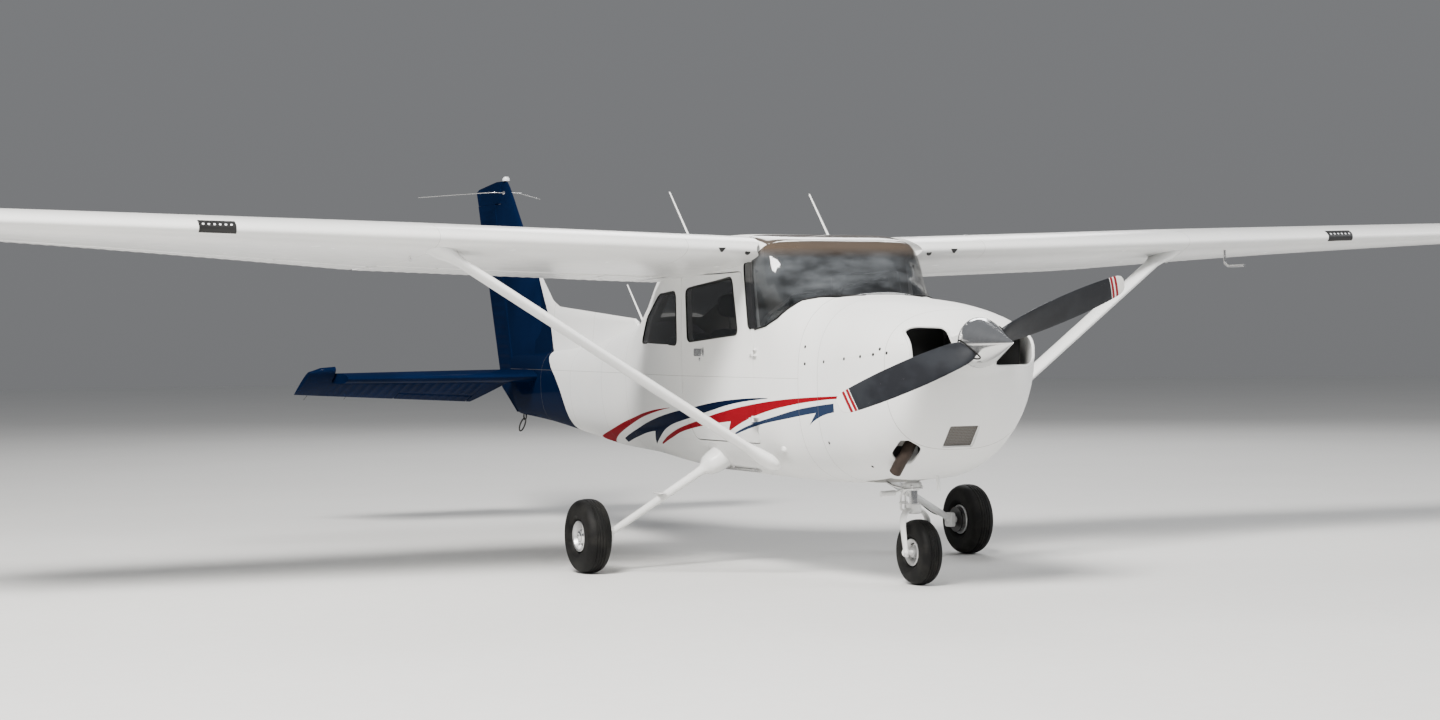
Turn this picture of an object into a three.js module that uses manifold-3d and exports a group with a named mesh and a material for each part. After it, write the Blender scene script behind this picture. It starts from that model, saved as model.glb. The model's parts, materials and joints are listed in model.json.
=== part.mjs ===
// A four-seat high-wing light aircraft on a fixed nose-wheel gear, as it parks.
// Millimetres. The tables give a station (aft of the firewall), a height above the ground and a
// side distance from the centre plane. The group is moved at the end so that its origin lies on
// the ground under the middle of the aircraft: +X is the left wing, +Y the tail, +Z up.
import * as THREE from "three";
import { mergeVertices } from "three/addons/utils/BufferGeometryUtils.js";
import Module from "manifold-3d";

const wasm = await Module();
wasm.setup();

// Driving dimensions
const NOSE_TIP = -1275; // station of the spinner's tip
const TAIL_END = 6904; // station of the rudder's upper rear corner
const MID_STATION = (NOSE_TIP + TAIL_END) / 2;
const SEAM = 0.3; // between pieces that are fixed to each other
const SKIN_SEAM = 0.5; // between a piece and the curved skin that it is fitted to
const DOOR_SEAM = 6; // round every piece that moves
const CABIN_WALL = 38;
const GLASS = 8;
const CONE_WALL = 9;
const COWL_WALL = 10;
const RING_POINTS = 28;

// Paint, metal and trim, as sRGB colours
const PAINT = {
  white: [0xf2f2ee, 0.25, 0.0],
  navy: [0x10203c, 0.25, 0.0],
  glass: [0x39424a, 0.08, 0.0],
  chrome: [0xcfd2d4, 0.12, 1.0],
  steel: [0x8d9094, 0.35, 1.0],
  iron: [0x55585a, 0.6, 0.8],
  rubber: [0x1a1a1b, 0.85, 0.0],
  blade: [0x2c2d2f, 0.45, 0.2],
  panel: [0x202124, 0.7, 0.0],
  cloth: [0x8a8375, 0.9, 0.0],
  lamp: [0xb02018, 0.2, 0.0],
};

// Solids from three.js geometry
function solid(geometry) {
  const bare = geometry.clone();
  bare.deleteAttribute("normal");
  bare.deleteAttribute("uv");
  const merged = mergeVertices(bare, 1e-3);
  const corners = merged.index.array;
  const kept = [];
  for (let i = 0; i < corners.length; i += 3) {
    const [a, b, c] = [corners[i], corners[i + 1], corners[i + 2]];
    if (a !== b && b !== c && c !== a) kept.push(a, b, c);
  }
  const build = (order) =>
    new wasm.Manifold(
      new wasm.Mesh({
        numProp: 3,
        vertProperties: merged.attributes.position.array,
        triVerts: new Uint32Array(order),
      }),
    );
  const made = build(kept);
  if (made.volume() > 0) return made;
  for (let i = 0; i < kept.length; i += 3) [kept[i], kept[i + 1]] = [kept[i + 1], kept[i]];
  return build(kept);
}

function join(...pieces) {
  return pieces.flat().reduce((sum, piece) => sum.add(piece));
}

function cut(body, ...tools) {
  return tools.flat().reduce((rest, tool) => rest.subtract(tool), body);
}

function common(...pieces) {
  return pieces.reduce((rest, piece) => rest.intersect(piece));
}

function box(x0, x1, y0, y1, z0, z1) {
  const shape = new THREE.BoxGeometry(x1 - x0, y1 - y0, z1 - z0);
  return solid(shape.translate((x0 + x1) / 2, (y0 + y1) / 2, (z0 + z1) / 2));
}

// Keeps the side of a body that faces +X or -X
function half(body, side) {
  const far = 9000;
  const [x0, x1] = side > 0 ? [SEAM / 2, far] : [-far, -SEAM / 2];
  return common(body, box(x0, x1, -far, far, -far, far));
}

// Outlines are lists of corners [a, b] in one plane
function signedArea(outline) {
  return outline.reduce((sum, [a, b], i) => {
    const [c, d] = outline[(i + 1) % outline.length];
    return sum + (a * d - c * b) / 2;
  }, 0);
}

// Moves each edge of an outline outwards by a distance, and meets the edges again
function grown(outline, distance) {
  const turn = Math.sign(signedArea(outline));
  const count = outline.length;
  return outline.map(([px, py], i) => {
    const [ax, ay] = outline[(i + count - 1) % count];
    const [bx, by] = outline[(i + 1) % count];
    const before = new THREE.Vector2(px - ax, py - ay).normalize();
    const after = new THREE.Vector2(bx - px, by - py).normalize();
    const normal = new THREE.Vector2(before.y + after.y, -before.x - after.x).normalize();
    const lean = Math.max(0.4, normal.x * before.y - normal.y * before.x);
    return [px + (turn * distance * normal.x) / lean, py + (turn * distance * normal.y) / lean];
  });
}

// An outline with round corners, as a THREE.Shape
function roundShape(outline, radius) {
  const shape = new THREE.Shape();
  const count = outline.length;
  const toward = ([px, py], [qx, qy]) => {
    const length = Math.hypot(qx - px, qy - py);
    const step = Math.min(radius, length / 2.2);
    return [px + ((qx - px) * step) / length, py + ((qy - py) * step) / length];
  };
  outline.forEach((corner, i) => {
    const start = toward(corner, outline[(i + count - 1) % count]);
    const end = toward(corner, outline[(i + 1) % count]);
    if (i === 0) shape.moveTo(...start);
    else shape.lineTo(...start);
    if (radius > 0) shape.quadraticCurveTo(...corner, ...end);
  });
  shape.closePath();
  return shape;
}

function extruded(outline, depth, radius) {
  const shape = roundShape(outline, radius);
  return new THREE.ExtrudeGeometry(shape, { depth, bevelEnabled: false, curveSegments: 4 });
}

// Corners are [station, height], and the prism runs across from x0 to x1
function sidePrism(outline, x0, x1, radius = 0) {
  const turned = new THREE.Matrix4().set(0, 0, 1, x0, 1, 0, 0, 0, 0, 1, 0, 0, 0, 0, 0, 1);
  return solid(extruded(outline, x1 - x0, radius).applyMatrix4(turned));
}

// Corners are [side, station], and the prism runs up from z0 to z1
function planPrism(outline, z0, z1, radius = 0) {
  return solid(extruded(outline, z1 - z0, radius).translate(0, 0, z0));
}

// Corners are [side, height], and the prism runs aft from y0 to y1
function frontPrism(outline, y0, y1, radius = 0) {
  return solid(extruded(outline, y1 - y0, radius).rotateX(Math.PI / 2).translate(0, y1, 0));
}

// Joins rings of points, each with the same count, into one closed skin with flat ends
function loft(rings) {
  const count = rings[0].length;
  const middle = (ring) =>
    ring.reduce((sum, p) => sum.map((v, k) => v + p[k] / count), [0, 0, 0]);
  const points = [...rings.flat(), middle(rings[0]), middle(rings.at(-1))];
  const first = rings.length * count;
  const faces = [];
  for (let i = 0; i < count; i++) {
    const next = (i + 1) % count;
    for (let row = 0; row + 1 < rings.length; row++) {
      const [a, b] = [row * count + i, row * count + next];
      faces.push(a, b, b + count, a, b + count, a + count);
    }
    const last = (rings.length - 1) * count;
    faces.push(first, next, i, first + 1, last + i, last + next);
  }
  const geometry = new THREE.BufferGeometry();
  geometry.setAttribute("position", new THREE.Float32BufferAttribute(points.flat(), 3));
  geometry.setIndex(faces);
  return solid(geometry);
}

// A straight rod of changing section: stops are [share of the length, half width, half height]
function rod(from, to, stops, level, sides = 16) {
  const start = new THREE.Vector3(...from);
  const along = new THREE.Vector3(...to).sub(start);
  const across = new THREE.Vector3(...level).projectOnPlane(along.clone().normalize()).normalize();
  const up = along.clone().normalize().cross(across);
  const ring = ([share, wide, high]) =>
    Array.from({ length: sides }, (_, i) => {
      const angle = (2 * Math.PI * i) / sides;
      return start
        .clone()
        .addScaledVector(along, share)
        .addScaledVector(across, wide * Math.cos(angle))
        .addScaledVector(up, high * Math.sin(angle))
        .toArray();
    });
  return loft(stops.map(ring));
}

function cylinder(from, to, radius, sides = 16) {
  const level = Math.abs(to[2] - from[2]) > Math.abs(to[0] - from[0]) ? [1, 0, 0] : [0, 0, 1];
  return rod(from, to, [[0, radius, radius], [1, radius, radius]], level, sides);
}

// A profile of [radius, offset along X] turned about an X axis through a centre
const WHEEL_SIDES = 24;
function wheelShape(profile, centre) {
  const points = profile.map(([radius, offset]) => new THREE.Vector2(radius, offset));
  points.push(points[0].clone());
  const turned = new THREE.LatheGeometry(points, WHEEL_SIDES).rotateZ(-Math.PI / 2);
  return solid(turned.translate(...centre));
}

// Made for the left side, a piece is mirrored for the right one
const mirrored = (piece) => (side) => (side > 0 ? piece : piece.mirror([1, 0, 0]));

// Hinges: a pin held by the fixed piece, and a bore in the moving one
const RUNNING_GAP = 0.4;
const PIN_SIDES = 8;
const HINGE = { pin: 6, eye: 12, arm: 8, thick: 10, reach: 26 };
const SMALL_HINGE = { pin: 3, eye: 8, arm: 5, thick: 8, reach: 16 };
const boreRadius = (pin) => (pin + RUNNING_GAP) / Math.cos(Math.PI / PIN_SIDES);

// Moves a piece made round the X axis on to a hinge's axis, with its +Y turned towards a direction
function onAxis(piece, point, axis, toward) {
  const along = new THREE.Vector3(...axis).normalize();
  const ahead = new THREE.Vector3(...toward).projectOnPlane(along).normalize();
  const place = new THREE.Matrix4().makeBasis(along, ahead, along.clone().cross(ahead)).setPosition(...point);
  return piece.transform(place.elements);
}

// The fixed lug reaches along +Y to its seat, and holds the pin
function hingeLug({ pin, eye, arm, thick, reach }, length) {
  const half = thick / 2;
  return join(
    box(-half, half, 0, length, -arm, arm),
    cylinder([-half, 0, 0], [half, 0, 0], eye, PIN_SIDES),
    cylinder([-reach, 0, 0], [reach, 0, 0], pin, PIN_SIDES),
  );
}

// The slot and the bore that a moving piece needs for that lug, out to the radius of its nose
function hingeRoom({ pin, eye, thick, reach }, nose) {
  const half = thick / 2 + RUNNING_GAP;
  const end = reach + RUNNING_GAP;
  return join(
    box(-half, half, 0, nose + 3, -nose - 3, nose + 3),
    cylinder([-half, 0, 0], [half, 0, 0], boreRadius(eye), PIN_SIDES),
    cylinder([-end, 0, 0], [end, 0, 0], boreRadius(pin), PIN_SIDES),
  );
}

// Door hinges stand out of the left side: the axis is upright, and two fixed eyes hold its pin
const KNUCKLE = { pin: 4, radius: 8, halfHeight: 12, eye: 10 };
const DOOR_HINGES = { axis: [566, 742], edge: [739, 745], inside: 545, heights: [930, 1330] };
const BAGGAGE_HINGES = { axis: [544, 1987], edge: [1984, 1990], inside: 515, heights: [950, 1200] };
function sideHingeFixed({ axis, edge, inside }, height) {
  const [x, y] = axis;
  const { pin, radius, halfHeight, eye } = KNUCKLE;
  const eyes = [-1, 1].flatMap((end) => {
    const [near, far] = [halfHeight + RUNNING_GAP, halfHeight + eye].map((offset) => height + end * offset);
    const [low, high] = [Math.min(near, far), Math.max(near, far)];
    return [
      cylinder([x, y, low], [x, y, high], radius, PIN_SIDES),
      box(inside, x + radius / 2, edge[0] - 38, edge[0], low, high),
    ];
  });
  const reach = halfHeight + eye - 1;
  return join(eyes, cylinder([x, y, height - reach], [x, y, height + reach], pin, PIN_SIDES));
}

function sideHingeMoving({ axis, edge, inside }, height) {
  const [x, y] = axis;
  const { radius, halfHeight } = KNUCKLE;
  return join(
    cylinder([x, y, height - halfHeight], [x, y, height + halfHeight], radius, PIN_SIDES),
    box(inside, x + radius / 2, edge[1], edge[1] + 40, height - halfHeight, height + halfHeight),
  );
}

function sideHingeBore({ axis }, height) {
  const reach = KNUCKLE.halfHeight + 1;
  return cylinder([...axis, height - reach], [...axis, height + reach], boreRadius(KNUCKLE.pin), PIN_SIDES);
}

function withKnuckle(door, knuckle, bore) {
  return cut(join(door, knuckle), bore);
}

// The fuselage and cowling skins, by section:
// station, half width, bottom, height of the greatest width, top, lower power, upper power
const BODY_SECTIONS = [
  [0, 521, 574, 1168, 1651, 3.0, 2.7],
  [152, 535, 566, 1168, 1665, 3.0, 2.7],
  [356, 548, 560, 1175, 1800, 3.1, 2.7],
  [559, 554, 558, 1190, 1925, 3.2, 3.2],
  [711, 556, 558, 1195, 1995, 3.2, 4.2],
  [914, 556, 560, 1210, 2035, 3.3, 5.0],
  [1270, 556, 565, 1219, 2050, 3.4, 5.5],
  [1778, 553, 572, 1219, 2030, 3.4, 5.5],
  [2134, 520, 583, 1219, 1984, 3.2, 5.0],
  [2337, 490, 592, 1219, 1934, 3.1, 4.4],
  [2692, 424, 612, 1205, 1756, 3.0, 3.4],
  [3048, 360, 632, 1180, 1580, 2.8, 2.8],
  [3683, 287, 655, 1143, 1475, 2.6, 2.4],
  [4445, 208, 722, 1105, 1367, 2.5, 2.3],
  [5207, 132, 790, 1092, 1321, 2.4, 2.2],
  [6080, 56, 842, 1080, 1295, 2.2, 2.2],
];
const COWL_SECTIONS = [
  [-912, 225, 1225, 1335, 1440, 2.4, 2.4],
  [-890, 335, 1150, 1330, 1468, 2.6, 2.5],
  [-850, 395, 1040, 1320, 1500, 2.6, 2.5],
  [-787, 432, 915, 1300, 1534, 2.7, 2.5],
  [-686, 465, 790, 1270, 1566, 2.8, 2.5],
  [-508, 498, 672, 1230, 1600, 2.9, 2.6],
  [-305, 513, 605, 1195, 1626, 3.0, 2.65],
  [-SEAM, 521, 574, 1168, 1651, 3.0, 2.7],
];

// Superellipse sections, drawn in by an inset, or let out by a negative one
function skin(sections, inset, ends = [0, 0]) {
  const power = (value, exponent) => Math.sign(value) * Math.abs(value) ** (2 / exponent);
  const ring = ([station, wide, bottom, widest, top, low, high], row) => {
    const atEnd = row === 0 ? ends[0] : row === sections.length - 1 ? ends[1] : 0;
    return Array.from({ length: RING_POINTS }, (_, i) => {
      const angle = (2 * Math.PI * i) / RING_POINTS;
      const [c, s] = [Math.cos(angle), Math.sin(angle)];
      const exponent = s > 0 ? high : low;
      const reach = (s > 0 ? top - widest : widest - bottom) - inset;
      return [(wide - inset) * power(c, exponent), station + atEnd, widest + reach * power(s, exponent)];
    });
  };
  return loft(sections.map(ring));
}

const body = skin(BODY_SECTIONS, 0);
const bodyGrown = skin(BODY_SECTIONS, -SKIN_SEAM, [-SKIN_SEAM, SKIN_SEAM]);
const cabinInside = skin(BODY_SECTIONS, CABIN_WALL, [-10, 10]);
const cabinLining = skin(BODY_SECTIONS, CABIN_WALL + SKIN_SEAM);

// Outlines seen from the side, as [station, height]
const CABIN_END = 3110;
const FLOOR_SPLIT = 784; // the floor's side sills reach up to here
const ROOF_SPLIT = 1796;
const OUTER = 700; // past the widest point of the fuselage
const DOOR = [[745, 790], [745, 1400], [800, 1470], [905, 1790], [1764, 1790], [1764, 1010], [1640, 790]];
const DOOR_WINDOW = [[955, 1438], [1030, 1776], [1696, 1722], [1676, 1392]];
const QUARTER_WINDOW = [[1848, 1372], [1856, 1706], [2200, 1694], [2530, 1548], [2655, 1384]];
const BAGGAGE_DOOR = [[1990, 840], [1990, 1310], [2400, 1310], [2400, 900], [2340, 840]];
const WINDSHIELD = [[725, 1466], [800, 1816], [706, 1866], [664, 1945], [690, 2012], [400, 2200], [60, 1740],
  [126, 1657], [239, 1656], [340, 1635], [403, 1590], [472, 1532], [582, 1487]];
const REAR_WINDOW = [[2375, 2100], [2375, 1846], [2985, 1556], [3080, 1700]];
const shell = cut(body, cabinInside);
const glassShell = cut(body, skin(BODY_SECTIONS, GLASS, [-10, 10]));
const windshieldCut = sidePrism(WINDSHIELD, -OUTER, OUTER, 25);
const rearWindowCut = sidePrism(REAR_WINDOW, -OUTER, OUTER, 25);
const stations = (y0, y1, z0, z1) => box(-OUTER, OUTER, y0, y1, z0, z1);

// The strip of the side that carries a piece cut out on one side only
function sideCut(outline, side, growth, radius) {
  const [x0, x1] = side > 0 ? [100, OUTER] : [-OUTER, -100];
  return sidePrism(grown(outline, growth), x0, x1, radius);
}

function glassPane(outline, side, radius) {
  return common(glassShell, sideCut(outline, side, -SEAM, radius));
}

const FIREWALL = 25; // thickness
const POST_END = 960; // the front posts end before this station
function forwardFuselage() {
  const doorways = [-1, 1].map((side) => sideCut(DOOR, side, DOOR_SEAM, 40));
  const wall = common(body, stations(0, FIREWALL, FLOOR_SPLIT, ROOF_SPLIT));
  const sides = common(shell, stations(FIREWALL - 1, POST_END, FLOOR_SPLIT, ROOF_SPLIT));
  const hinges = DOOR_HINGES.heights.flatMap((height) =>
    [1, -1].map((side) => mirrored(sideHingeFixed(DOOR_HINGES, height))(side)),
  );
  return join(cut(join(wall, sides), windshieldCut, doorways), hinges);
}

function cabinFloor() {
  return common(shell, stations(0, CABIN_END, 0, FLOOR_SPLIT - SEAM));
}

function cabinRoof() {
  const crown = common(shell, stations(600, CABIN_END, ROOF_SPLIT + SEAM, 2200));
  return cut(crown, windshieldCut, rearWindowCut);
}

const DOORWAY_REAR = 1610; // the fixed side starts inside the doorway, at its cut corner
function rearSide(side) {
  const panel = half(common(shell, stations(DOORWAY_REAR, CABIN_END, FLOOR_SPLIT, ROOF_SPLIT)), side);
  const openings = [sideCut(DOOR, side, DOOR_SEAM, 40), sideCut(QUARTER_WINDOW, side, 0, 45), rearWindowCut];
  if (side < 0) return cut(panel, openings);
  const fixed = BAGGAGE_HINGES.heights.map((height) => sideHingeFixed(BAGGAGE_HINGES, height));
  return join(cut(panel, openings, sideCut(BAGGAGE_DOOR, side, DOOR_SEAM, 30)), fixed);
}

function cabinDoor(side) {
  const leaf = common(shell, sideCut(DOOR, side, 0, 34));
  const glazed = cut(leaf, sideCut(DOOR_WINDOW, side, 0, 45));
  return DOOR_HINGES.heights.reduce(
    (door, height) => withKnuckle(door, mirrored(sideHingeMoving(DOOR_HINGES, height))(side),
      mirrored(sideHingeBore(DOOR_HINGES, height))(side)),
    glazed,
  );
}

function baggageDoor() {
  return BAGGAGE_HINGES.heights.reduce(
    (door, height) => withKnuckle(door, sideHingeMoving(BAGGAGE_HINGES, height), sideHingeBore(BAGGAGE_HINGES, height)),
    common(shell, sideCut(BAGGAGE_DOOR, 1, 0, 24)),
  );
}

// Wings
// side, leading edge station, leading edge height, chord, incidence in degrees, thickness share
const WING_SECTIONS = [
  [500, 673, 1944, 1626, 5.8, 0.12],
  [2540, 673, 2006, 1626, 5.2, 0.12],
  [5283, 800, 2089, 1118, 2.2, 0.12],
  [5400, 838, 2092, 1000, 2.2, 0.095],
  [5461, 905, 2093, 840, 2.2, 0.045],
];
const FLAP_SPAN = [664, 2536];
const AILERON_SPAN = [2562, 5207];
const END_SEAM = 14; // at the ends of a flap or aileron, whose hinge line isn't level
const FLAP_START = 0.715; // share of the chord
const AILERON_START = 0.79;
const CAMBER = 0.02;
const AIRFOIL_STEPS = [0, 0.012, 0.045, 0.11, 0.22, 0.38, 0.56, 0.78, 1];
const CONTROL_STEPS = [0, 0.3, 0.65, 1];

// Height of the upper or lower surface of a four-digit airfoil, as a share of the chord
function airfoil(x, thickness, camber, upper) {
  const bulk = 5 * thickness *
    (0.2969 * Math.sqrt(x) - 0.126 * x - 0.3516 * x ** 2 + 0.2843 * x ** 3 - 0.1015 * x ** 4);
  const front = 0.4;
  const line = x < front
    ? (camber / front ** 2) * (2 * front * x - x ** 2)
    : (camber / (1 - front) ** 2) * (1 - 2 * front + 2 * front * x - x ** 2);
  return line + (upper ? bulk : -bulk);
}

// A flat ring of [along the chord, height] from the nose round to the trailing edge
function fullRing(chord, thickness, camber) {
  const upper = AIRFOIL_STEPS.map((x) => [x * chord, airfoil(x, thickness, camber, true) * chord]);
  const lower = AIRFOIL_STEPS.map((x) => [x * chord, airfoil(x, thickness, camber, false) * chord]);
  return [...upper.reverse(), ...lower.slice(1)];
}

// The rear part of the same airfoil, with a half-round nose at its start
function controlRing(chord, thickness, camber, start) {
  const point = (x, upper) => [x * chord, airfoil(x, thickness, camber, upper) * chord];
  const steps = CONTROL_STEPS.map((step) => start + (1 - start) * step);
  const [top, bottom] = [point(start, true), point(start, false)];
  const [radius, middle] = [(top[1] - bottom[1]) / 2, (top[1] + bottom[1]) / 2];
  const nose = [30, 60, 90, 120, 150].map((degrees) => {
    const angle = THREE.MathUtils.degToRad(degrees);
    return [top[0] - radius * Math.sin(angle), middle + radius * Math.cos(angle)];
  });
  const upper = steps.map((x) => point(x, true)).reverse();
  const lower = steps.map((x) => point(x, false));
  return [...upper, ...nose, ...lower];
}

// Values of a table's columns at any side distance, on straight lines between its rows
function between(sections, at) {
  const next = sections.findIndex(([value], i) => i > 0 && value >= at);
  const row = next - 1;
  const [a, b] = [sections[row], sections[row + 1]];
  const share = (at - a[0]) / (b[0] - a[0]);
  return a.map((value, k) => value + (b[k] - value) * share);
}

function wingPoint([side, edge, height, chord, incidence], along, up) {
  const lean = THREE.MathUtils.degToRad(incidence);
  const station = edge + along * Math.cos(lean) + up * Math.sin(lean);
  return [side, station, height - along * Math.sin(lean) + up * Math.cos(lean)];
}

function wingLoft(sides, ringOf) {
  return loft(
    sides.map((side) => {
      const row = between(WING_SECTIONS, side);
      return ringOf(row[3], row[5]).map(([along, up]) => wingPoint(row, along, up));
    }),
  );
}

const wingFull = wingLoft(WING_SECTIONS.map(([side]) => side), (chord, thickness) =>
  fullRing(chord, thickness, CAMBER),
);

// The hinge's place in a control surface that starts at a share of the chord
function noseCentre(side, start) {
  const row = between(WING_SECTIONS, side);
  const [chord, thickness] = [row[3], row[5]];
  const [top, bottom] = [true, false].map((up) => airfoil(start, thickness, CAMBER, up) * chord);
  return { point: wingPoint(row, start * chord, (top + bottom) / 2), radius: (top - bottom) / 2 };
}

function cove([inner, outer], start) {
  const edge = (side) => {
    const { point, radius } = noseCentre(side, start);
    return point[1] - radius - DOOR_SEAM;
  };
  const [x0, x1] = [inner - END_SEAM, outer + END_SEAM];
  return planPrism([[x0, edge(inner)], [x1, edge(outer)], [x1, 2600], [x0, 2600]], 1700, 2400);
}

function controlOfWing([inner, outer], start) {
  const inside = WING_SECTIONS.map(([side]) => side).filter((side) => side > inner && side < outer);
  return wingLoft([inner, ...inside, outer], (chord, thickness) =>
    controlRing(chord, thickness, CAMBER, start),
  );
}

// The straight line between the nose centres at a surface's two ends
function noseLine([inner, outer], start) {
  const [a, b] = [noseCentre(inner, start), noseCentre(outer, start)];
  const axis = b.point.map((value, k) => value - a.point[k]);
  const at = (side) => {
    const share = (side - inner) / (outer - inner);
    const point = a.point.map((value, k) => value + axis[k] * share);
    return { point, radius: a.radius + (b.radius - a.radius) * share };
  };
  return { axis, at };
}

// Each aileron turns on two lugs of the wing
const AILERON_HINGES = [3150, 4750]; // side
const aileronLine = noseLine(AILERON_SPAN, AILERON_START);
const AHEAD = [0, -1, 0];
const LUG_SEAT = 20; // how deep a lug is let into its piece
const aileronLugs = AILERON_HINGES.map((side) => {
  const { point, radius } = aileronLine.at(side);
  return onAxis(hingeLug(HINGE, radius + DOOR_SEAM + LUG_SEAT), point, aileronLine.axis, AHEAD);
});
const aileronRooms = AILERON_HINGES.map((side) => {
  const { point, radius } = aileronLine.at(side);
  return onAxis(hingeRoom(HINGE, radius), point, aileronLine.axis, AHEAD);
});

// Each flap runs on two curved rails of the wing, whose centre line lies below and behind its nose
const FLAP_PIVOT = { aft: 30, down: 130 };
const FLAP_RAILS = [1050, 2150]; // side
const RAIL = { half: 11, thick: 10, start: -50, end: 26, step: 7.6 }; // angles in degrees, aft of upright
const flapLine = noseLine(FLAP_SPAN, FLAP_START);
function arcBand(inner, outer, start, end, thick) {
  const count = Math.round((end - start) / RAIL.step);
  const arc = (radius) =>
    Array.from({ length: count + 1 }, (_, i) => {
      const angle = THREE.MathUtils.degToRad(start + ((end - start) * i) / count);
      return [radius * Math.sin(angle), radius * Math.cos(angle)];
    });
  return sidePrism([...arc(outer), ...arc(inner).reverse()], -thick / 2, thick / 2);
}

function onFlapPivot(piece, side) {
  const [x, y, z] = flapLine.at(side).point;
  return onAxis(piece, [x, y + FLAP_PIVOT.aft, z - FLAP_PIVOT.down], flapLine.axis, [0, 1, 0]);
}

const railRadius = Math.hypot(FLAP_PIVOT.aft, FLAP_PIVOT.down);
const flatness = Math.cos(THREE.MathUtils.degToRad(RAIL.step / 2)); // of the arc's straight pieces
const flapRail = arcBand(railRadius - RAIL.half, railRadius + RAIL.half, RAIL.start, RAIL.end, RAIL.thick);
const flapSlot = arcBand(
  (railRadius - RAIL.half) * flatness - RUNNING_GAP,
  (railRadius + RAIL.half + RUNNING_GAP) / flatness,
  RAIL.start - RAIL.step,
  RAIL.end + 1,
  RAIL.thick + 2 * RUNNING_GAP,
);

const wingCut = cut(wingFull, bodyGrown, cove(FLAP_SPAN, FLAP_START), cove(AILERON_SPAN, AILERON_START));
const wingRails = FLAP_RAILS.map((side) => common(onFlapPivot(flapRail, side), wingFull));
const wing = join(wingCut, wingRails, aileronLugs);
const flap = cut(controlOfWing(FLAP_SPAN, FLAP_START), FLAP_RAILS.map((side) => onFlapPivot(flapSlot, side)));
const aileron = cut(controlOfWing(AILERON_SPAN, AILERON_START), aileronRooms);

// Struts and legs
const STRUT = { low: [525, 500, 655], high: [2525, 875, 1972] };
const STRUT_STOPS = [
  [0, 100, 46], [0.05, 92, 42], [0.1, 70, 28], [0.93, 70, 28], [0.97, 85, 30], [1, 120, 34],
];
const strut = cut(
  rod(STRUT.low, STRUT.high, STRUT_STOPS, [0, 1, 0]),
  bodyGrown,
  wingGrown(),
);

function wingGrown() {
  const sides = WING_SECTIONS.map(([side]) => side);
  return wingLoft(sides, (chord, thickness) => grown(fullRing(chord, thickness, CAMBER), SKIN_SEAM));
}

const MAIN_WHEEL = { side: 1335, station: 1455, radius: 225 };
const AXLE = 20;
const AXLE_GAP = 0.6; // between the flats of an axle and its bore
const LEG_STOPS = [[0, 98, 80], [0.2, 84, 70], [0.31, 42, 38], [0.38, 36, 34], [1, 24, 24]];
function mainLeg() {
  const { side, station, radius } = MAIN_WHEEL;
  const foot = [side - 135, station, radius + 6];
  const leg = rod([380, 1413, 706], foot, LEG_STOPS, [0, 1, 0]);
  const axle = cylinder([foot[0] - 20, station, radius], [side + 66, station, radius], AXLE, WHEEL_SIDES);
  const clamp = box(foot[0] - 12, foot[0] + 20, station - 45, station + 45, radius - 45, radius + 45);
  const step = box(850, 900, 1400, 1510, 446, 452);
  const stepArm = box(866, 884, 1440, 1460, 400, 450);
  return cut(join(leg, axle, clamp, step, stepArm), bodyGrown);
}

// Wheels: profiles are [radius, offset from the middle]
function tyreProfile(radius, halfWidth, rim) {
  const bead = halfWidth * 0.74;
  return [
    [rim, -bead], [rim + 12, -bead - 4], [(rim + radius) / 2, -halfWidth], [radius - 16, -halfWidth * 0.84],
    [radius - 3, -halfWidth * 0.55], [radius, -halfWidth * 0.2], [radius, halfWidth * 0.2],
    [radius - 3, halfWidth * 0.55], [radius - 16, halfWidth * 0.84], [(rim + radius) / 2, halfWidth],
    [rim + 12, bead + 4], [rim, bead],
  ];
}

function rimProfile(rim, halfWidth, bore) {
  const flange = halfWidth * 0.74 + 6;
  const seat = rim - SEAM * 2;
  return [
    [bore, -halfWidth * 0.8], [bore + 14, -halfWidth * 0.8], [bore + 16, -18], [seat - 12, -14],
    [seat - 10, -flange], [seat, -flange], [seat, flange], [seat - 10, flange],
    [seat - 12, 14], [bore + 16, 18], [bore + 14, halfWidth * 0.8], [bore, halfWidth * 0.8],
  ];
}

const MAIN_RIM = 78;
const MAIN_HALF_WIDTH = 79;
const HUB_BORE = AXLE + AXLE_GAP;
const BRAKE_DISC = [[HUB_BORE, -60], [HUB_BORE + 14, -60], [HUB_BORE + 14, -84], [98, -84], [98, -92],
  [HUB_BORE, -92]];
const mainCentre = [MAIN_WHEEL.side, MAIN_WHEEL.station, MAIN_WHEEL.radius];
const mainTyre = wheelShape(tyreProfile(MAIN_WHEEL.radius, MAIN_HALF_WIDTH, MAIN_RIM), mainCentre);
const mainRim = join(
  wheelShape(rimProfile(MAIN_RIM, MAIN_HALF_WIDTH, HUB_BORE), mainCentre),
  wheelShape(BRAKE_DISC, mainCentre),
);

// Nose gear
const NOSE_WHEEL = { station: -238, radius: 187, halfWidth: 63, rim: 62, axle: 13 };
const STEER_TOP = [0, -150, 900]; // the strut's upper end, on the steering axis
const STEER_FOOT = [0, -193, 305]; // a point low on the same axis
const STRUT_SPLIT = 521; // height where the sliding piston leaves the tube
function onSteerAxis(height) {
  const share = (height - STEER_FOOT[2]) / (STEER_TOP[2] - STEER_FOOT[2]);
  return [0, STEER_FOOT[1] + (STEER_TOP[1] - STEER_FOOT[1]) * share, height];
}

const noseCentrePoint = [0, NOSE_WHEEL.station, NOSE_WHEEL.radius];
const noseTyre = wheelShape(
  tyreProfile(NOSE_WHEEL.radius, NOSE_WHEEL.halfWidth, NOSE_WHEEL.rim),
  noseCentrePoint,
);
const noseRim = wheelShape(
  rimProfile(NOSE_WHEEL.rim, NOSE_WHEEL.halfWidth, NOSE_WHEEL.axle + AXLE_GAP),
  noseCentrePoint,
);

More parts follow.
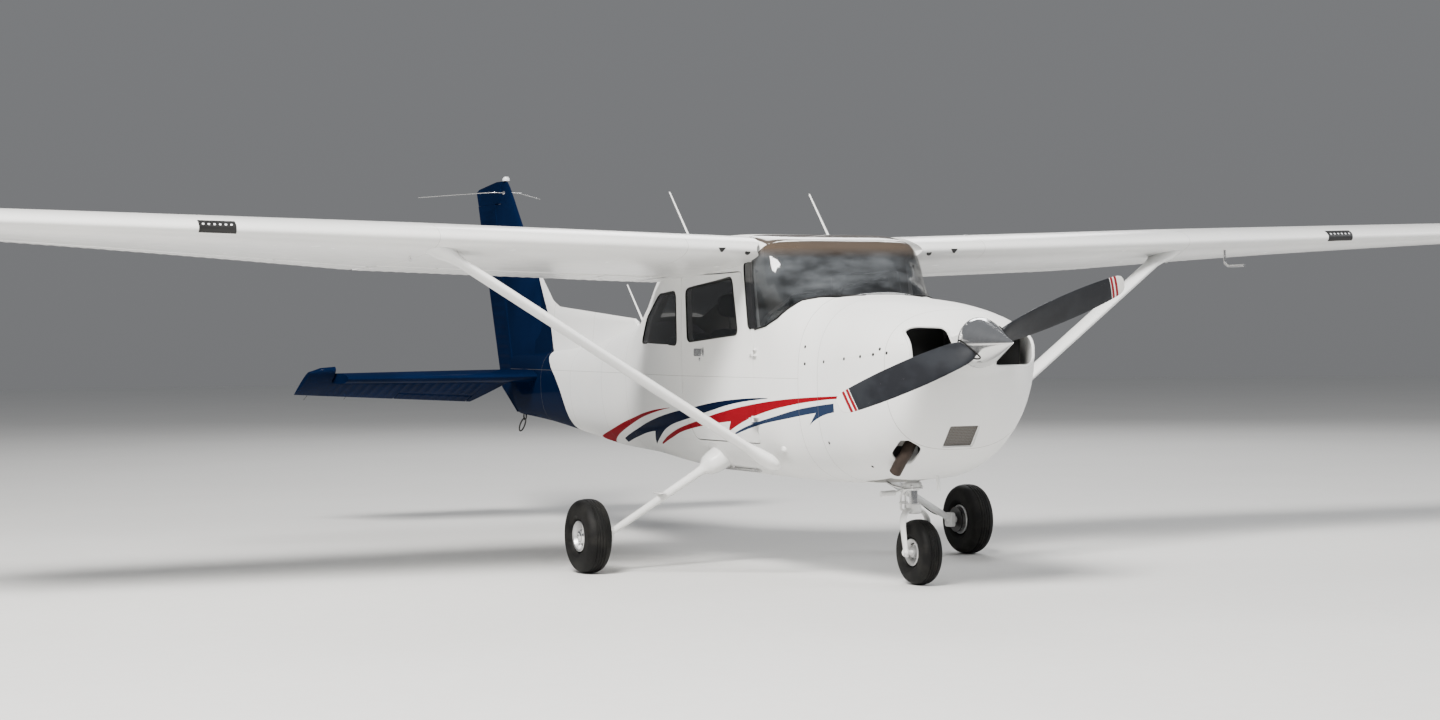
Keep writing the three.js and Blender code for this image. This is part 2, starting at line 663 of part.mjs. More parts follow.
function noseStrut() {
  const tube = cylinder(onSteerAxis(STRUT_SPLIT), STEER_TOP, 36);
  const collar = cylinder(onSteerAxis(STRUT_SPLIT + 6), onSteerAxis(STRUT_SPLIT + 46), 48);
  const brackets = [600, 860].map((height) => box(-60, 60, -170, -SEAM, height, height + 30));
  return join(tube, collar, brackets);
}

// Half of the arch seen from the front, as [side, height], outside and inside
const FORK_OUTER = [[97, 156], [97, 372], [54, 441]];
const FORK_INNER = [[44, 410], [73, 366], [73, 156]];
const FORK_DEPTH = 58;
const AXLE_END = 102; // from the middle
const LOWER_LINK = [[-170, 404], [-58, 448], [-52, 470], [-76, 476], [-170, 436]]; // [station, height]
const UPPER_LINK = [[-58, 448], [-52, 470], [-98, 558], [-118, 558], [-118, 530], [-76, 452]];
function noseFork() {
  const { station, radius, axle } = NOSE_WHEEL;
  const crownHeight = FORK_OUTER[2][1];
  const outline = [
    ...FORK_OUTER,
    ...FORK_OUTER.map(([side, height]) => [-side, height]).reverse(),
    ...FORK_INNER.map(([side, height]) => [-side, height]).reverse(),
    ...FORK_INNER,
  ];
  const slope = (onSteerAxis(crownHeight)[1] - station) / (crownHeight - radius);
  const lean = new THREE.Matrix4().set(1, 0, 0, 0, 0, 1, slope, -slope * radius, 0, 0, 1, 0, 0, 0, 0, 1);
  const arch = frontPrism(outline, station - FORK_DEPTH / 2, station + FORK_DEPTH / 2, 16).transform(lean.elements);
  const piston = cylinder(onSteerAxis(crownHeight - 12), onSteerAxis(STRUT_SPLIT - SEAM), 25);
  const shaft = cylinder([-AXLE_END, station, radius], [AXLE_END, station, radius], axle, WHEEL_SIDES);
  return join(arch, piston, shaft, sidePrism(LOWER_LINK, -16, 16), sidePrism(UPPER_LINK, -14, 14));
}

// Tail: side, leading edge station, chord of the whole surface, thickness share
const TAIL_HEIGHT = 1130; // of the stabilizer's chord plane
const ELEVATOR_HINGE = 5956;
const TAILPLANE_SECTIONS = [
  [0, 5283, 1247, 0.082],
  [1530, 5530, 778, 0.1],
  [1650, 5562, 728, 0.095],
  [1730, 5645, 633, 0.055],
];
const STABILIZER_HALF_SPAN = 1530;
const TAIL_GAP = 7;
const ELEVATOR_NOSE = 26; // radius
const ELEVATOR_INNER = 88;
const ELEVATOR_NOTCH = [[0, ELEVATOR_HINGE + 30], [ELEVATOR_INNER, ELEVATOR_HINGE + 30], [236, 6496], [260, 6600],
  [0, 6600]];
const ELEVATOR_HINGES = [-1050, 1050]; // side
const DROOP = THREE.MathUtils.degToRad(-23); // the elevator hangs on its stop, as the photograph shows
const HORN_INNER = STABILIZER_HALF_SPAN + TAIL_GAP + 8;

function tailplaneLoft(growth = 0, sections = TAILPLANE_SECTIONS) {
  const right = sections.slice(1).reverse().map(([side, ...rest]) => [-side, ...rest]);
  const rows = [...right, ...sections];
  return loft(
    rows.map(([side, edge, chord, thickness]) =>
      grown(fullRing(chord, thickness, 0), growth).map(([along, up]) => [side, edge + along, TAIL_HEIGHT + up]),
    ),
  );
}

// The space inside the stabilizer's skin, which opens at its rear face
function stabilizerHollow() {
  const sections = TAILPLANE_SECTIONS.slice(0, 2).map(([side, edge, chord, thickness]) =>
    [Math.min(side, 1500), edge + chord * 0.05, chord * 0.92, thickness * 0.76]);
  return tailplaneLoft(0, sections);
}

const STABILIZER_REAR = ELEVATOR_HINGE - ELEVATOR_NOSE - TAIL_GAP;
function stabilizer(growth = 0) {
  const reach = STABILIZER_HALF_SPAN + growth;
  return common(tailplaneLoft(growth), box(-reach, reach, 5000, STABILIZER_REAR + growth, 1000, 1300));
}

// A rib behind each hinge carries its lug
function stabilizerWithLugs() {
  const half = HINGE.thick / 2;
  const parts = ELEVATOR_HINGES.flatMap((side) => [
    common(tailplaneLoft(), box(side - half, side + half, STABILIZER_REAR - 80, STABILIZER_REAR, 1000, 1300)),
    onAxis(hingeLug(HINGE, ELEVATOR_NOSE + TAIL_GAP + LUG_SEAT), [side, ELEVATOR_HINGE, TAIL_HEIGHT], [1, 0, 0], AHEAD),
  ]);
  return join(cut(stabilizer(), stabilizerHollow()), parts);
}

// The part of the tailplane behind the hinge, with its round nose, torque tube and horns
function elevatorFlat() {
  const reach = TAILPLANE_SECTIONS.at(-1)[0];
  const blade = common(tailplaneLoft(), box(-reach, reach, ELEVATOR_HINGE, 6600, 1000, 1300));
  const nose = cylinder([-reach + 90, ELEVATOR_HINGE, TAIL_HEIGHT], [reach - 90, ELEVATOR_HINGE, TAIL_HEIGHT],
    ELEVATOR_NOSE, 20);
  const horns = [-1, 1].map((side) => {
    const [x0, x1] = side > 0 ? [HORN_INNER, reach] : [-reach, -HORN_INNER];
    return common(tailplaneLoft(), box(x0, x1, 5400, ELEVATOR_HINGE + 5, 1000, 1300));
  });
  const notch = join(
    planPrism(ELEVATOR_NOTCH, 1000, 1300),
    planPrism(ELEVATOR_NOTCH.map(([side, station]) => [-side, station]), 1000, 1300),
  );
  const innerNose = box(-ELEVATOR_INNER, ELEVATOR_INNER, ELEVATOR_HINGE - 40, ELEVATOR_HINGE + 40, 1000, 1300);
  const tube = cylinder([-ELEVATOR_INNER - 5, ELEVATOR_HINGE, TAIL_HEIGHT],
    [ELEVATOR_INNER + 5, ELEVATOR_HINGE, TAIL_HEIGHT], 16);
  const rooms = ELEVATOR_HINGES.map((side) =>
    onAxis(hingeRoom(HINGE, ELEVATOR_NOSE), [side, ELEVATOR_HINGE, TAIL_HEIGHT], [1, 0, 0], AHEAD));
  return cut(join(cut(join(blade, nose), notch, innerNose), horns, tube), rooms);
}

// The trim tab's hinge runs between two points [side, station] in the right half of the elevator
const TRIM_TAB = { outer: [-900, 6260], inner: [-280, 6350], nose: 14, hinges: [0.2, 0.8], ends: 8 };
function trimTabRegion(ahead, aside) {
  const [[x0, y0], [x1, y1]] = [TRIM_TAB.outer, TRIM_TAB.inner];
  const outline = [[x0 - aside, y0 - ahead], [x1 + aside, y1 - ahead], [x1 + aside, 6700], [x0 - aside, 6700]];
  return planPrism(outline, 1000, 1300);
}

function trimTabSpot(share) {
  return TRIM_TAB.outer.map((value, k) => value + (TRIM_TAB.inner[k] - value) * share).concat(TAIL_HEIGHT);
}

function onTrimTabAxis(piece, share) {
  const [a, b] = [trimTabSpot(0), trimTabSpot(1)];
  return onAxis(piece, trimTabSpot(share), b.map((value, k) => value - a[k]), AHEAD);
}

function elevator(whole) {
  const { nose, hinges, ends } = TRIM_TAB;
  const lugs = hinges.map((share) => onTrimTabAxis(hingeLug(SMALL_HINGE, nose + DOOR_SEAM + LUG_SEAT), share));
  return drooped(join(cut(whole, trimTabRegion(nose + DOOR_SEAM, ends)), lugs));
}

function trimTab(whole) {
  const { nose, hinges } = TRIM_TAB;
  const round = cylinder(trimTabSpot(0.003), trimTabSpot(0.997), nose - 1, 16);
  const rooms = hinges.map((share) => onTrimTabAxis(hingeRoom(SMALL_HINGE, nose), share));
  return drooped(cut(join(common(whole, trimTabRegion(0, 0)), round), rooms));
}

function drooped(piece) {
  const turn = new THREE.Matrix4()
    .makeTranslation(0, ELEVATOR_HINGE, TAIL_HEIGHT)
    .multiply(new THREE.Matrix4().makeRotationX(DROOP))
    .multiply(new THREE.Matrix4().makeTranslation(0, -ELEVATOR_HINGE, -TAIL_HEIGHT));
  return piece.transform(turn.elements);
}

// Fin and rudder: height, leading edge station, hinge station, trailing edge station, hinge radius
const FIN_SECTIONS = [
  [830, 5080, 5953, 6240, 28],
  [1150, 5180, 6048, 6390, 28],
  [1829, 5471, 6249, 6620, 24],
  [2309, 5888, 6391, 6783, 20],
  [2560, 6100, 6466, 6868, 17],
  [2652, 6190, 6493, 6900, 12],
];
const RUDDER_OUTLINE = [
  [5870, 838], [6350, 1030], [6391, 1155], [TAIL_END, 2590], [6820, 2612], [6340, 2652], [6290, 2652],
  [6290, 2480], [6200, 2480],
];
const FIN_OUTLINE = [[5200, 1150], [5471, 1829], [5888, 2309], [6147, 2652], [6280, 2652], [6280, 2474],
  [6700, 2474], [6150, 1000]];
const DORSAL = [[3640, 1400], [3690, 1548], [5130, 1652], [5260, 1700], [5500, 1900], [5600, 1500], [5500, 1200]];

function finRing([height, edge, hinge, rear, radius], parts) {
  const spots = {
    full: [[rear, 2], [hinge, radius], [edge + 190, radius * 1.25], [edge + 45, radius * 0.75], [edge, 0]],
    rudder: [[rear, 2], [hinge, radius], [hinge - radius * 0.5, radius * 0.87], [hinge - radius * 0.87, radius * 0.5],
      [hinge - radius, 0]],
  }[parts];
  const left = spots.map(([station, x]) => [x, station, height]);
  const right = spots.slice(0, -1).reverse().map(([station, x]) => [-x, station, height]);
  return [...left, ...right];
}

const finFull = loft(FIN_SECTIONS.map((row) => finRing(row, "full")));
const rudderFull = loft(FIN_SECTIONS.map((row) => finRing(row, "rudder")));

// Everything behind the fin's rear face, which runs parallel to the rudder's hinge
function behindFin(gap) {
  const line = FIN_SECTIONS.map(([height, , hinge, , radius]) => [hinge - radius - gap, height]);
  const [low, high] = [line[0], line.at(-1)];
  return sidePrism([[low[0] - 20, low[1] - 60], ...line, [high[0] + 30, high[1] + 100], [7000, 2800], [7000, 760]],
    -200, 200);
}

const RUDDER_AXIS = [0, FIN_SECTIONS[3][2] - FIN_SECTIONS[1][2], FIN_SECTIONS[3][0] - FIN_SECTIONS[1][0]];
const RUDDER_HINGES = [1400, 2200]; // height
function onRudderAxis(makePiece, height) {
  const [, , hinge, , radius] = between(FIN_SECTIONS, height);
  return onAxis(makePiece(radius), [0, hinge, height], RUDDER_AXIS, AHEAD);
}

function rudder() {
  const rooms = RUDDER_HINGES.map((height) => onRudderAxis((radius) => hingeRoom(HINGE, radius), height));
  const outline = sidePrism(RUDDER_OUTLINE, -200, 200);
  const horn = common(finFull, sidePrism([[6290, 2480], [6290, 2652], [6500, 2652], [6500, 2480]], -200, 200));
  return cut(join(common(rudderFull, outline), horn), rooms);
}

function fin() {
  const blade = cut(common(finFull, sidePrism(FIN_OUTLINE, -200, 200)), behindFin(TAIL_GAP));
  const dorsal = cut(sidePrism(DORSAL, -14, 14), behindFin(TAIL_GAP));
  const lugs = RUDDER_HINGES.map((height) =>
    onRudderAxis((radius) => hingeLug(HINGE, radius + TAIL_GAP + LUG_SEAT), height));
  return join(cut(join(blade, dorsal), bodyGrown), lugs);
}

function tailCone() {
  const outer = common(body, stations(CABIN_END + SEAM, 6200, 500, 1700));
  const inner = skin(BODY_SECTIONS, CONE_WALL, [-10, 10]);
  const hinge = box(-200, 200, ELEVATOR_HINGE - 50, 6200, TAIL_HEIGHT - 48, TAIL_HEIGHT + 48);
  return cut(outer, inner, stabilizer(SKIN_SEAM), behindFin(TAIL_GAP), hinge);
}

// Nose: cowling, engine, propeller
const AXIS_HEIGHT = 1382; // of the crankshaft
const INLET = [[112, 1258], [210, 1450], [376, 1442], [384, 1372], [330, 1297]];
const COWL_SPLIT = [[0, 1272], [-690, 1329], [-735, 1376], [-1000, 1376]];
const SUMP_BOTTOM = 900;
const EXHAUST = { top: [-175, -520, SUMP_BOTTOM - SEAM], bend: [-268, -585, 790], low: [-280, -560, 648], radius: 34 };
const EXHAUST_HOLE = [[-345, -680], [-345, -525], [-215, -525], [-215, -680]];
const FILTER = { x: [-110, 80], front: [[-782, 928], [-689, 808]], rear: -640 }; // corners [station, height]
function airFilter(growth = 0) {
  const { x, front, rear } = FILTER;
  const outline = [...front, [rear, front[1][1]], [rear, front[0][1]]];
  return sidePrism(grown(outline, growth), x[0] - growth, x[1] + growth);
}

function cowling() {
  const outer = skin(COWL_SECTIONS, 0);
  const inner = skin(COWL_SECTIONS, COWL_WALL, [12, 10]);
  const rightInlet = INLET.map(([x, z]) => [-x, z]);
  const inlets = [INLET, rightInlet].map((outline) => frontPrism(outline, -1000, -760, 30));
  const shaftHole = cylinder([0, -1000, AXIS_HEIGHT], [0, -800, AXIS_HEIGHT], 70);
  const outlet = box(-215, 215, -300, 20, 400, 640);
  const exhaustHole = planPrism(EXHAUST_HOLE, 560, 850, 50);
  const filterHole = box(...FILTER.x, -1000, FILTER.rear, FILTER.front[1][1], FILTER.front[0][1]);
  return cut(outer, inner, inlets, shaftHole, outlet, exhaustHole, filterHole);
}

function cowlPart(whole, upper) {
  const offset = upper ? SEAM / 2 : -SEAM / 2;
  const line = COWL_SPLIT.map(([station, height]) => [station, height + offset]);
  const far = upper ? 2000 : 300;
  const region = [[10, line[0][1]], ...line.slice(1), [-1000, far], [10, far]];
  return common(whole, sidePrism(region, -OUTER, OUTER));
}

function engine() {
  const block = box(-370, 370, -640, -150, 1040, 1450);
  const sump = box(-200, 200, -600, -190, SUMP_BOTTOM, 1045);
  const nose = cylinder([0, -630, AXIS_HEIGHT], [0, -931, AXIS_HEIGHT], 48);
  const mounts = [-1, 1].flatMap((side) =>
    [1120, 1400].map((height) => box(side * 230 - 22, side * 230 + 22, -152, -SEAM, height - 22, height + 22)),
  );
  return join(block, sump, nose, mounts);
}

function exhaustPipe() {
  const { top, bend, low, radius } = EXHAUST;
  const pipe = (from, to) => rod(from, to, [[0, radius, radius], [1, radius, radius]], [0, 1, 0]);
  const [x, y, z] = bend;
  const ball = [[0, 14, 14], [0.25, 30, 30], [0.5, radius + 1, radius + 1], [0.75, 30, 30], [1, 14, 14]];
  const whole = join(pipe([top[0], top[1], top[2] + 60], bend), pipe(bend, low),
    rod([x, y, z - radius], [x, y, z + radius], ball, [0, 1, 0]));
  return common(whole, box(-500, 0, -900, 0, 0, SUMP_BOTTOM - SEAM));
}

const PROPELLER = { station: -980, rest: 19.7, hub: 62 };
const SPINNER_SIDES = 28;
// radius, chord, thickness, pitch in degrees
const BLADE_SECTIONS = [
  [30, 96, 70, 62],
  [110, 104, 56, 55],
  [170, 134, 40, 46],
  [270, 158, 28, 35],
  [420, 170, 20, 27],
  [620, 162, 14, 20],
  [800, 142, 10, 16],
  [920, 116, 8, 14],
  [952, 90, 7, 13.5],
  [965, 50, 5, 13],
];
function blade(turn, sections, growth = 0) {
  const sides = 12;
  const ring = ([radius, chord, thickness, pitch]) =>
    Array.from({ length: sides }, (_, i) => {
      const angle = (2 * Math.PI * i) / sides;
      const lean = THREE.MathUtils.degToRad(pitch);
      const along = (chord / 2 + growth) * Math.cos(angle);
      const out = (thickness / 2 + growth) * Math.sin(angle);
      const local = new THREE.Vector3(
        -(along * Math.cos(lean) - out * Math.sin(lean)),
        -(along * Math.sin(lean) + out * Math.cos(lean)),
        radius,
      );
      return local.applyAxisAngle(new THREE.Vector3(0, 1, 0), turn).toArray();
    });
  const place = new THREE.Matrix4().makeTranslation(0, PROPELLER.station, AXIS_HEIGHT);
  return loft(sections.map(ring)).transform(place.elements);
}

// The blade on the left points a little up, and the one on the right a little down
const BLADE_TURNS = [90 - PROPELLER.rest, 270 - PROPELLER.rest].map(THREE.MathUtils.degToRad);
function propeller() {
  const hub = cylinder([0, -1030, AXIS_HEIGHT], [0, -931 - SEAM, AXIS_HEIGHT], PROPELLER.hub, SPINNER_SIDES);
  return join(hub, BLADE_TURNS.map((turn) => blade(turn, BLADE_SECTIONS)));
}

// radius, station
const SPINNER_OUTSIDE = [[134, -918], [135, -955], [130, -1020], [112, -1100], [80, -1180], [40, -1245], [14, -1270],
  [0, NOSE_TIP]];
const SPINNER_INSIDE = [[0, -1262], [30, -1240], [72, -1176], [104, -1098], [122, -1018], [126, -960], [126, -934],
  [PROPELLER.hub + SEAM, -934], [PROPELLER.hub + SEAM, -918]];
function spinner() {
  const points = [...SPINNER_OUTSIDE, ...SPINNER_INSIDE].map(([radius, station]) =>
    new THREE.Vector2(radius, -station));
  points.push(points[0].clone());
  const turned = new THREE.LatheGeometry(points, SPINNER_SIDES).rotateX(Math.PI).translate(0, 0, AXIS_HEIGHT);
  const roots = BLADE_SECTIONS.slice(0, 3);
  const room = BLADE_TURNS.map((turn) => blade(turn, roots, 4));
  return cut(solid(turned), room);
}

// Cabin fittings
function instrumentPanel() {
  const board = box(-OUTER, OUTER, 340, 400, 1130, 1650);
  const shelf = box(-OUTER, OUTER, 190, 440, 1585, 1622);
  return common(join(board, shelf), cabinLining);
}

const SEAT_SIDE = 250;
const SEAT_WIDTH = 440;
const SEAT_BASE = { width: 260, start: 1090, end: 1400, top: 890 };
const SEAT_OUTLINE = [[1010, 890], [1010, 1010], [1440, 990], [1560, 1560], [1640, 1560], [1530, 870]];
function frontSeat(side) {
  const middle = side * SEAT_SIDE;
  const { width, start, end, top } = SEAT_BASE;
  const padded = sidePrism(SEAT_OUTLINE, middle - SEAT_WIDTH / 2, middle + SEAT_WIDTH / 2, 20);
  const base = box(middle - width / 2, middle + width / 2, start, end, 500, top);
  return common(join(padded, base), cabinLining);
}

const BENCH_OUTLINE = [[1850, 880], [1850, 1000], [2240, 970], [2330, 1480], [2400, 1480], [2330, 860]];
function rearBench() {
  const padded = common(sidePrism(BENCH_OUTLINE, -450, 450, 20), skin(BODY_SECTIONS, CABIN_WALL + 8));
  const base = common(box(-280, 280, 1930, 2290, 500, 900), cabinLining);
  return join(padded, base);
}

function beacon() {
  const points = [[0, 0], [30, 0], [30, 12], [24, 28], [12, 35], [0, 36]].map(([r, h]) => new THREE.Vector2(r, h));
  const turned = new THREE.LatheGeometry(points, 16).rotateX(Math.PI / 2);
  return solid(turned.translate(0, 6222, 2652 + SEAM));
}

// The scene graph: one named mesh for each piece
const model = new THREE.Group();
function place(name, piece, paint) {
  const mesh = piece.getMesh();
  const count = mesh.numProp;
  const position = new Float32Array(mesh.numVert * 3);
  for (let i = 0; i < mesh.numVert; i++) {
    position.set(mesh.vertProperties.subarray(i * count, i * count + 3), i * 3);
  }
  const geometry = new THREE.BufferGeometry();
  geometry.setAttribute("position", new THREE.BufferAttribute(position, 3));
  geometry.setIndex(new THREE.BufferAttribute(mesh.triVerts, 1));
  const [color, roughness, metalness] = PAINT[paint];
  const made = new THREE.Mesh(geometry, new THREE.MeshStandardMaterial({ color, roughness, metalness }));
  made.name = name;
  model.add(made);
}

function placePair(name, pieceOf, paint) {
  place(name + "_left", pieceOf(1), paint);
  place(name + "_right", pieceOf(-1), paint);
}

place("cabin_floor", cabinFloor(), "white");
place("forward_fuselage", forwardFuselage(), "white");
place("cabin_roof", cabinRoof(), "white");
placePair("rear_side", rearSide, "white");
placePair("cabin_door", cabinDoor, "white");
placePair("door_window", (side) => glassPane(DOOR_WINDOW, side, 45), "glass");
placePair("quarter_window", (side) => glassPane(QUARTER_WINDOW, side, 45), "glass");
place("windshield", common(glassShell, sidePrism(grown(WINDSHIELD, -SEAM), -OUTER, OUTER, 25)), "glass");
place("rear_window", common(glassShell, sidePrism(grown(REAR_WINDOW, -SEAM), -OUTER, OUTER, 25)), "glass");
place("baggage_door", baggageDoor(), "white");
place("tail_cone", tailCone(), "navy");
place("fin", fin(), "navy");
place("rudder", rudder(), "navy");
place("stabilizer", stabilizerWithLugs(), "navy");
const elevatorWhole = elevatorFlat();
place("elevator", elevator(elevatorWhole), "navy");
place("trim_tab", trimTab(elevatorWhole), "navy");
place("beacon", beacon(), "lamp");
placePair("wing", mirrored(wing), "white");
placePair("flap", mirrored(flap), "white");
placePair("aileron", mirrored(aileron), "white");
placePair("wing_strut", mirrored(strut), "white");
placePair("main_leg", mirrored(mainLeg()), "white");
placePair("main_tyre", mirrored(mainTyre), "rubber");
placePair("main_rim", mirrored(mainRim), "steel");
place("nose_strut", noseStrut(), "white");
place("nose_fork", noseFork(), "white");
place("nose_tyre", noseTyre, "rubber");
place("nose_rim", noseRim, "steel");
const cowl = cowling();
place("cowl_upper", cowlPart(cowl, true), "white");
place("cowl_lower", cowlPart(cowl, false), "white");
place("air_filter", airFilter(-SEAM), "iron");
place("engine", engine(), "iron");
place("exhaust_pipe", exhaustPipe(), "steel");
place("propeller", propeller(), "blade");
place("spinner", spinner(), "chrome");
place("instrument_panel", instrumentPanel(), "panel");
placePair("front_seat", frontSeat, "cloth");
place("rear_bench", rearBench(), "cloth");
model.position.y = -MID_STATION;

export default model;
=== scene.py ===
import json
import math

import bmesh
import bpy
import numpy as np
from mathutils import Matrix, Vector

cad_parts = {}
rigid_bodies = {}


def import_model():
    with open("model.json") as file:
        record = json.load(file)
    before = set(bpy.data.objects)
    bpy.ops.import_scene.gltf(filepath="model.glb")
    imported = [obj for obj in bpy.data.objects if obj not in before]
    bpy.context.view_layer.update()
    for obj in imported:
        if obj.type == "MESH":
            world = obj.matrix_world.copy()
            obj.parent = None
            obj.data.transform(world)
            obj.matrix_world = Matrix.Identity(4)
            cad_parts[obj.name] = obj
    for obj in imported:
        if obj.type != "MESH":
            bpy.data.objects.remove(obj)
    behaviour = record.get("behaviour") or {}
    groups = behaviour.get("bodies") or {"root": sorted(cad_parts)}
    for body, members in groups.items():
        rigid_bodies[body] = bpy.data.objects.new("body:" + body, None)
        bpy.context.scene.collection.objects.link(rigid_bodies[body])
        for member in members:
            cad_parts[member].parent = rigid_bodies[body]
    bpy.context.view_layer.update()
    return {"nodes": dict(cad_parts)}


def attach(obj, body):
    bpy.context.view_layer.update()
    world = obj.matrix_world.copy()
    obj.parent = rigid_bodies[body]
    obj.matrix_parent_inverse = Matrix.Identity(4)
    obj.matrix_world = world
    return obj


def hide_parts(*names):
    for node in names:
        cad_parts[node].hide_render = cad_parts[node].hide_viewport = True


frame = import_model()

MID_STATION = 2814.5
SIDES = {"left": 1, "right": -1}
ACROSS, AFT, UP = (1, 0, 0), (0, 1, 0), (0, 0, 1)


# Numbers and curves

def to_scene(points):
    """Metres from the aircraft's middle, from millimetres and stations."""
    return (np.asarray(points, float) - [0, MID_STATION, 0]) / 1000


def eased(at, knots, values):
    """A smooth curve through (knots, values) that never overshoots: the slope at a knot is the
    harmonic mean of the slopes on its two sides, and 0 where they differ in sign."""
    knots, values = np.asarray(knots, float), np.asarray(values, float)
    step = np.diff(knots)
    slope = np.diff(values) / step
    before, after = slope[:-1], slope[1:]
    same = before * after > 0
    total = np.where(same, before + after, 1)
    inner = np.where(same, 2 * before * after / total, 0)
    tangent = np.concatenate([slope[:1], inner, slope[-1:]])
    i = np.clip(np.searchsorted(knots, at, side="right") - 1, 0, len(step) - 1)
    t = np.clip((at - knots[i]) / step[i], 0, 1)
    rise = values[i + 1] - values[i]
    bend = step[i] * t * (1 - t) * ((1 - t) * tangent[i] - t * tangent[i + 1])
    return values[i] + rise * t * t * (3 - 2 * t) + bend


def spaced(points, count, between):
    """Points evenly along the given ones, each coordinate by length and the way to fill in between."""
    points = np.asarray(points, float)
    length = np.concatenate([[0], np.cumsum(np.linalg.norm(np.diff(points, axis=0), axis=1))])
    at = np.linspace(0, length[-1], count)
    return np.stack([between(at, length, column) for column in points.T], 1)


def smooth_path(points, count):
    return spaced(points, count, eased)


def straight_path(points, count):
    return spaced(points, count, np.interp)


def full_turn(count):
    """Angles evenly round a full turn."""
    return np.linspace(0, 2 * np.pi, count, endpoint=False)


def half_turn(count):
    """Angles inside a half turn, its two ends left out."""
    return np.radians(np.linspace(0, 180, count)[1:-1])


def crowded(count):
    """Shares from 0 to 1 that crowd at both ends: (1 - cos) / 2."""
    return (1 - np.cos(np.linspace(0, np.pi, count))) / 2


def unit(vectors):
    vectors = np.asarray(vectors, float)
    return vectors / np.maximum(np.linalg.norm(vectors, axis=-1, keepdims=True), 1e-12)


def square_to(axis):
    """An axis and two unit directions square to it and to each other."""
    axis = unit(axis)
    other = UP if abs(axis[2]) < 0.9 else AFT
    first = unit(np.cross(axis, other))
    return axis, first, np.cross(axis, first)


# Surfaces: a surface is (points, list of face arrays)

def cells(rows, columns, wrap_rows=False):
    """Corner numbers of the cells of a grid of points. Its last column joins its first, and its last
    row may do so too."""
    i, j = np.meshgrid(np.arange(rows if wrap_rows else rows - 1), np.arange(columns), indexing="ij")
    below, beside = (i + 1) % rows, (j + 1) % columns
    corners = [i * columns + j, i * columns + beside, below * columns + beside, below * columns + j]
    return np.stack(corners, -1).reshape(-1, 4)


def outward(points, faces):
    """Turns every face round if the surface holds a negative volume, summed from fans at the middle."""
    centred = points - points.mean(0)
    volume = 0
    for corners in faces:
        for k in range(1, corners.shape[1] - 1):
            a, b, c = centred[corners[:, 0]], centred[corners[:, k]], centred[corners[:, k + 1]]
            volume += np.einsum("ij,ij->", a, np.cross(b, c))
    return points, faces if volume > 0 else [corners[:, ::-1] for corners in faces]


def skin(rings):
    """A closed shell: rings joined row by row, each end closed by a fan round its middle."""
    rings = np.asarray(rings, float)
    rows, columns, _ = rings.shape
    points = np.concatenate([rings.reshape(-1, 3), rings[:1].mean(1), rings[-1:].mean(1)])
    here = np.arange(columns)
    beside = (here + 1) % columns
    centre, last = rows * columns, (rows - 1) * columns
    fans = [
        np.stack([np.full(columns, centre), beside, here], 1),
        np.stack([np.full(columns, centre + 1), last + here, last + beside], 1),
    ]
    return outward(points, [cells(rows, columns), *fans])


LEAST_RADIUS = 0.3  # of a turned profile's corner on its axis, where a fan closes it


def turned(profile, centre, axis=ACROSS, sides=64, loop=False):
    """A profile of (radius, offset) turned about an axis: centre + offset along it + radius round it.
    A loop has its last corner joined to its first, and any other profile is closed at its ends."""
    axis, first, second = square_to(axis)
    radius, offset = np.asarray(profile, float).T
    radius = np.maximum(radius, LEAST_RADIUS)
    angle = full_turn(sides)
    spoke = np.cos(angle)[:, None] * first + np.sin(angle)[:, None] * second
    rings = np.asarray(centre) + offset[:, None, None] * axis + radius[:, None, None] * spoke
    if not loop:
        return skin(rings)
    return outward(rings.reshape(-1, 3), [cells(len(rings), sides, wrap_rows=True)])


def knob(corners, centre, axis=ACROSS, sides=24):
    """A turned piece with flat ends, each closed at the axis at its own corner's offset."""
    return turned([(0, corners[0][1]), *corners, (0, corners[-1][1])], centre, axis, sides)


def round_tube(path, ahead, wide, high, sides, level):
    """Rings of an ellipse along a path, its width along the level direction laid square to the path."""
    level = np.asarray(level, float)
    across = unit(level - (ahead @ level)[:, None] * ahead)
    up = np.cross(ahead, across)
    angle = full_turn(sides)[:, None]
    return path[:, None] + (wide * np.cos(angle) * across[:, None] + high * np.sin(angle) * up[:, None])


def tube(path, wide, high=None, sides=16, level=None):
    """An ellipse carried along a path, closed at its ends, with one half width and half height or one
    for each point."""
    path = np.asarray(path, float)
    ahead = unit(np.gradient(path, axis=0))
    if level is None:
        level = np.eye(3)[np.argmin(np.abs(ahead).sum(0))]
    wide = np.broadcast_to(wide, len(path))[:, None, None]
    high = wide if high is None else np.broadcast_to(high, len(path))[:, None, None]
    return skin(round_tube(path, ahead, wide, high, sides, level))


def bar(points, count, wide, high=None, sides=12, level=None):
    """A tube along the straight pieces between points."""
    return tube(straight_path(points, count), wide, high, sides, level)


def bent_bar(points, count, wide, high=None, sides=12, level=None):
    """A tube along the smooth curve through points."""
    return tube(smooth_path(points, count), wide, high, sides, level)


def rod(start, end, stops, rings, sides):
    """A straight rod whose half width and half height ease between stops of (share, wide, high)."""
    share, wide, high = np.asarray(stops, float).T
    at = np.unique(np.concatenate([np.linspace(0, 1, rings), share]))
    path = np.asarray(start) + at[:, None] * (np.asarray(end, float) - start)
    return tube(path, eased(at, share, wide), eased(at, share, high), sides, AFT)


def closed_loop(path, radius, sides=10, level=ACROSS):
    """A round tube along a closed path."""
    path = np.asarray(path, float)
    ahead = unit(np.roll(path, -1, 0) - np.roll(path, 1, 0))
    points = round_tube(path, ahead, radius, radius, sides, level).reshape(-1, 3)
    return outward(points, [cells(len(path), sides, wrap_rows=True)])


def lifted(value, power):
    """A sine or cosine raised to a power with its sign kept."""
    return np.sign(value) * np.abs(value) ** power


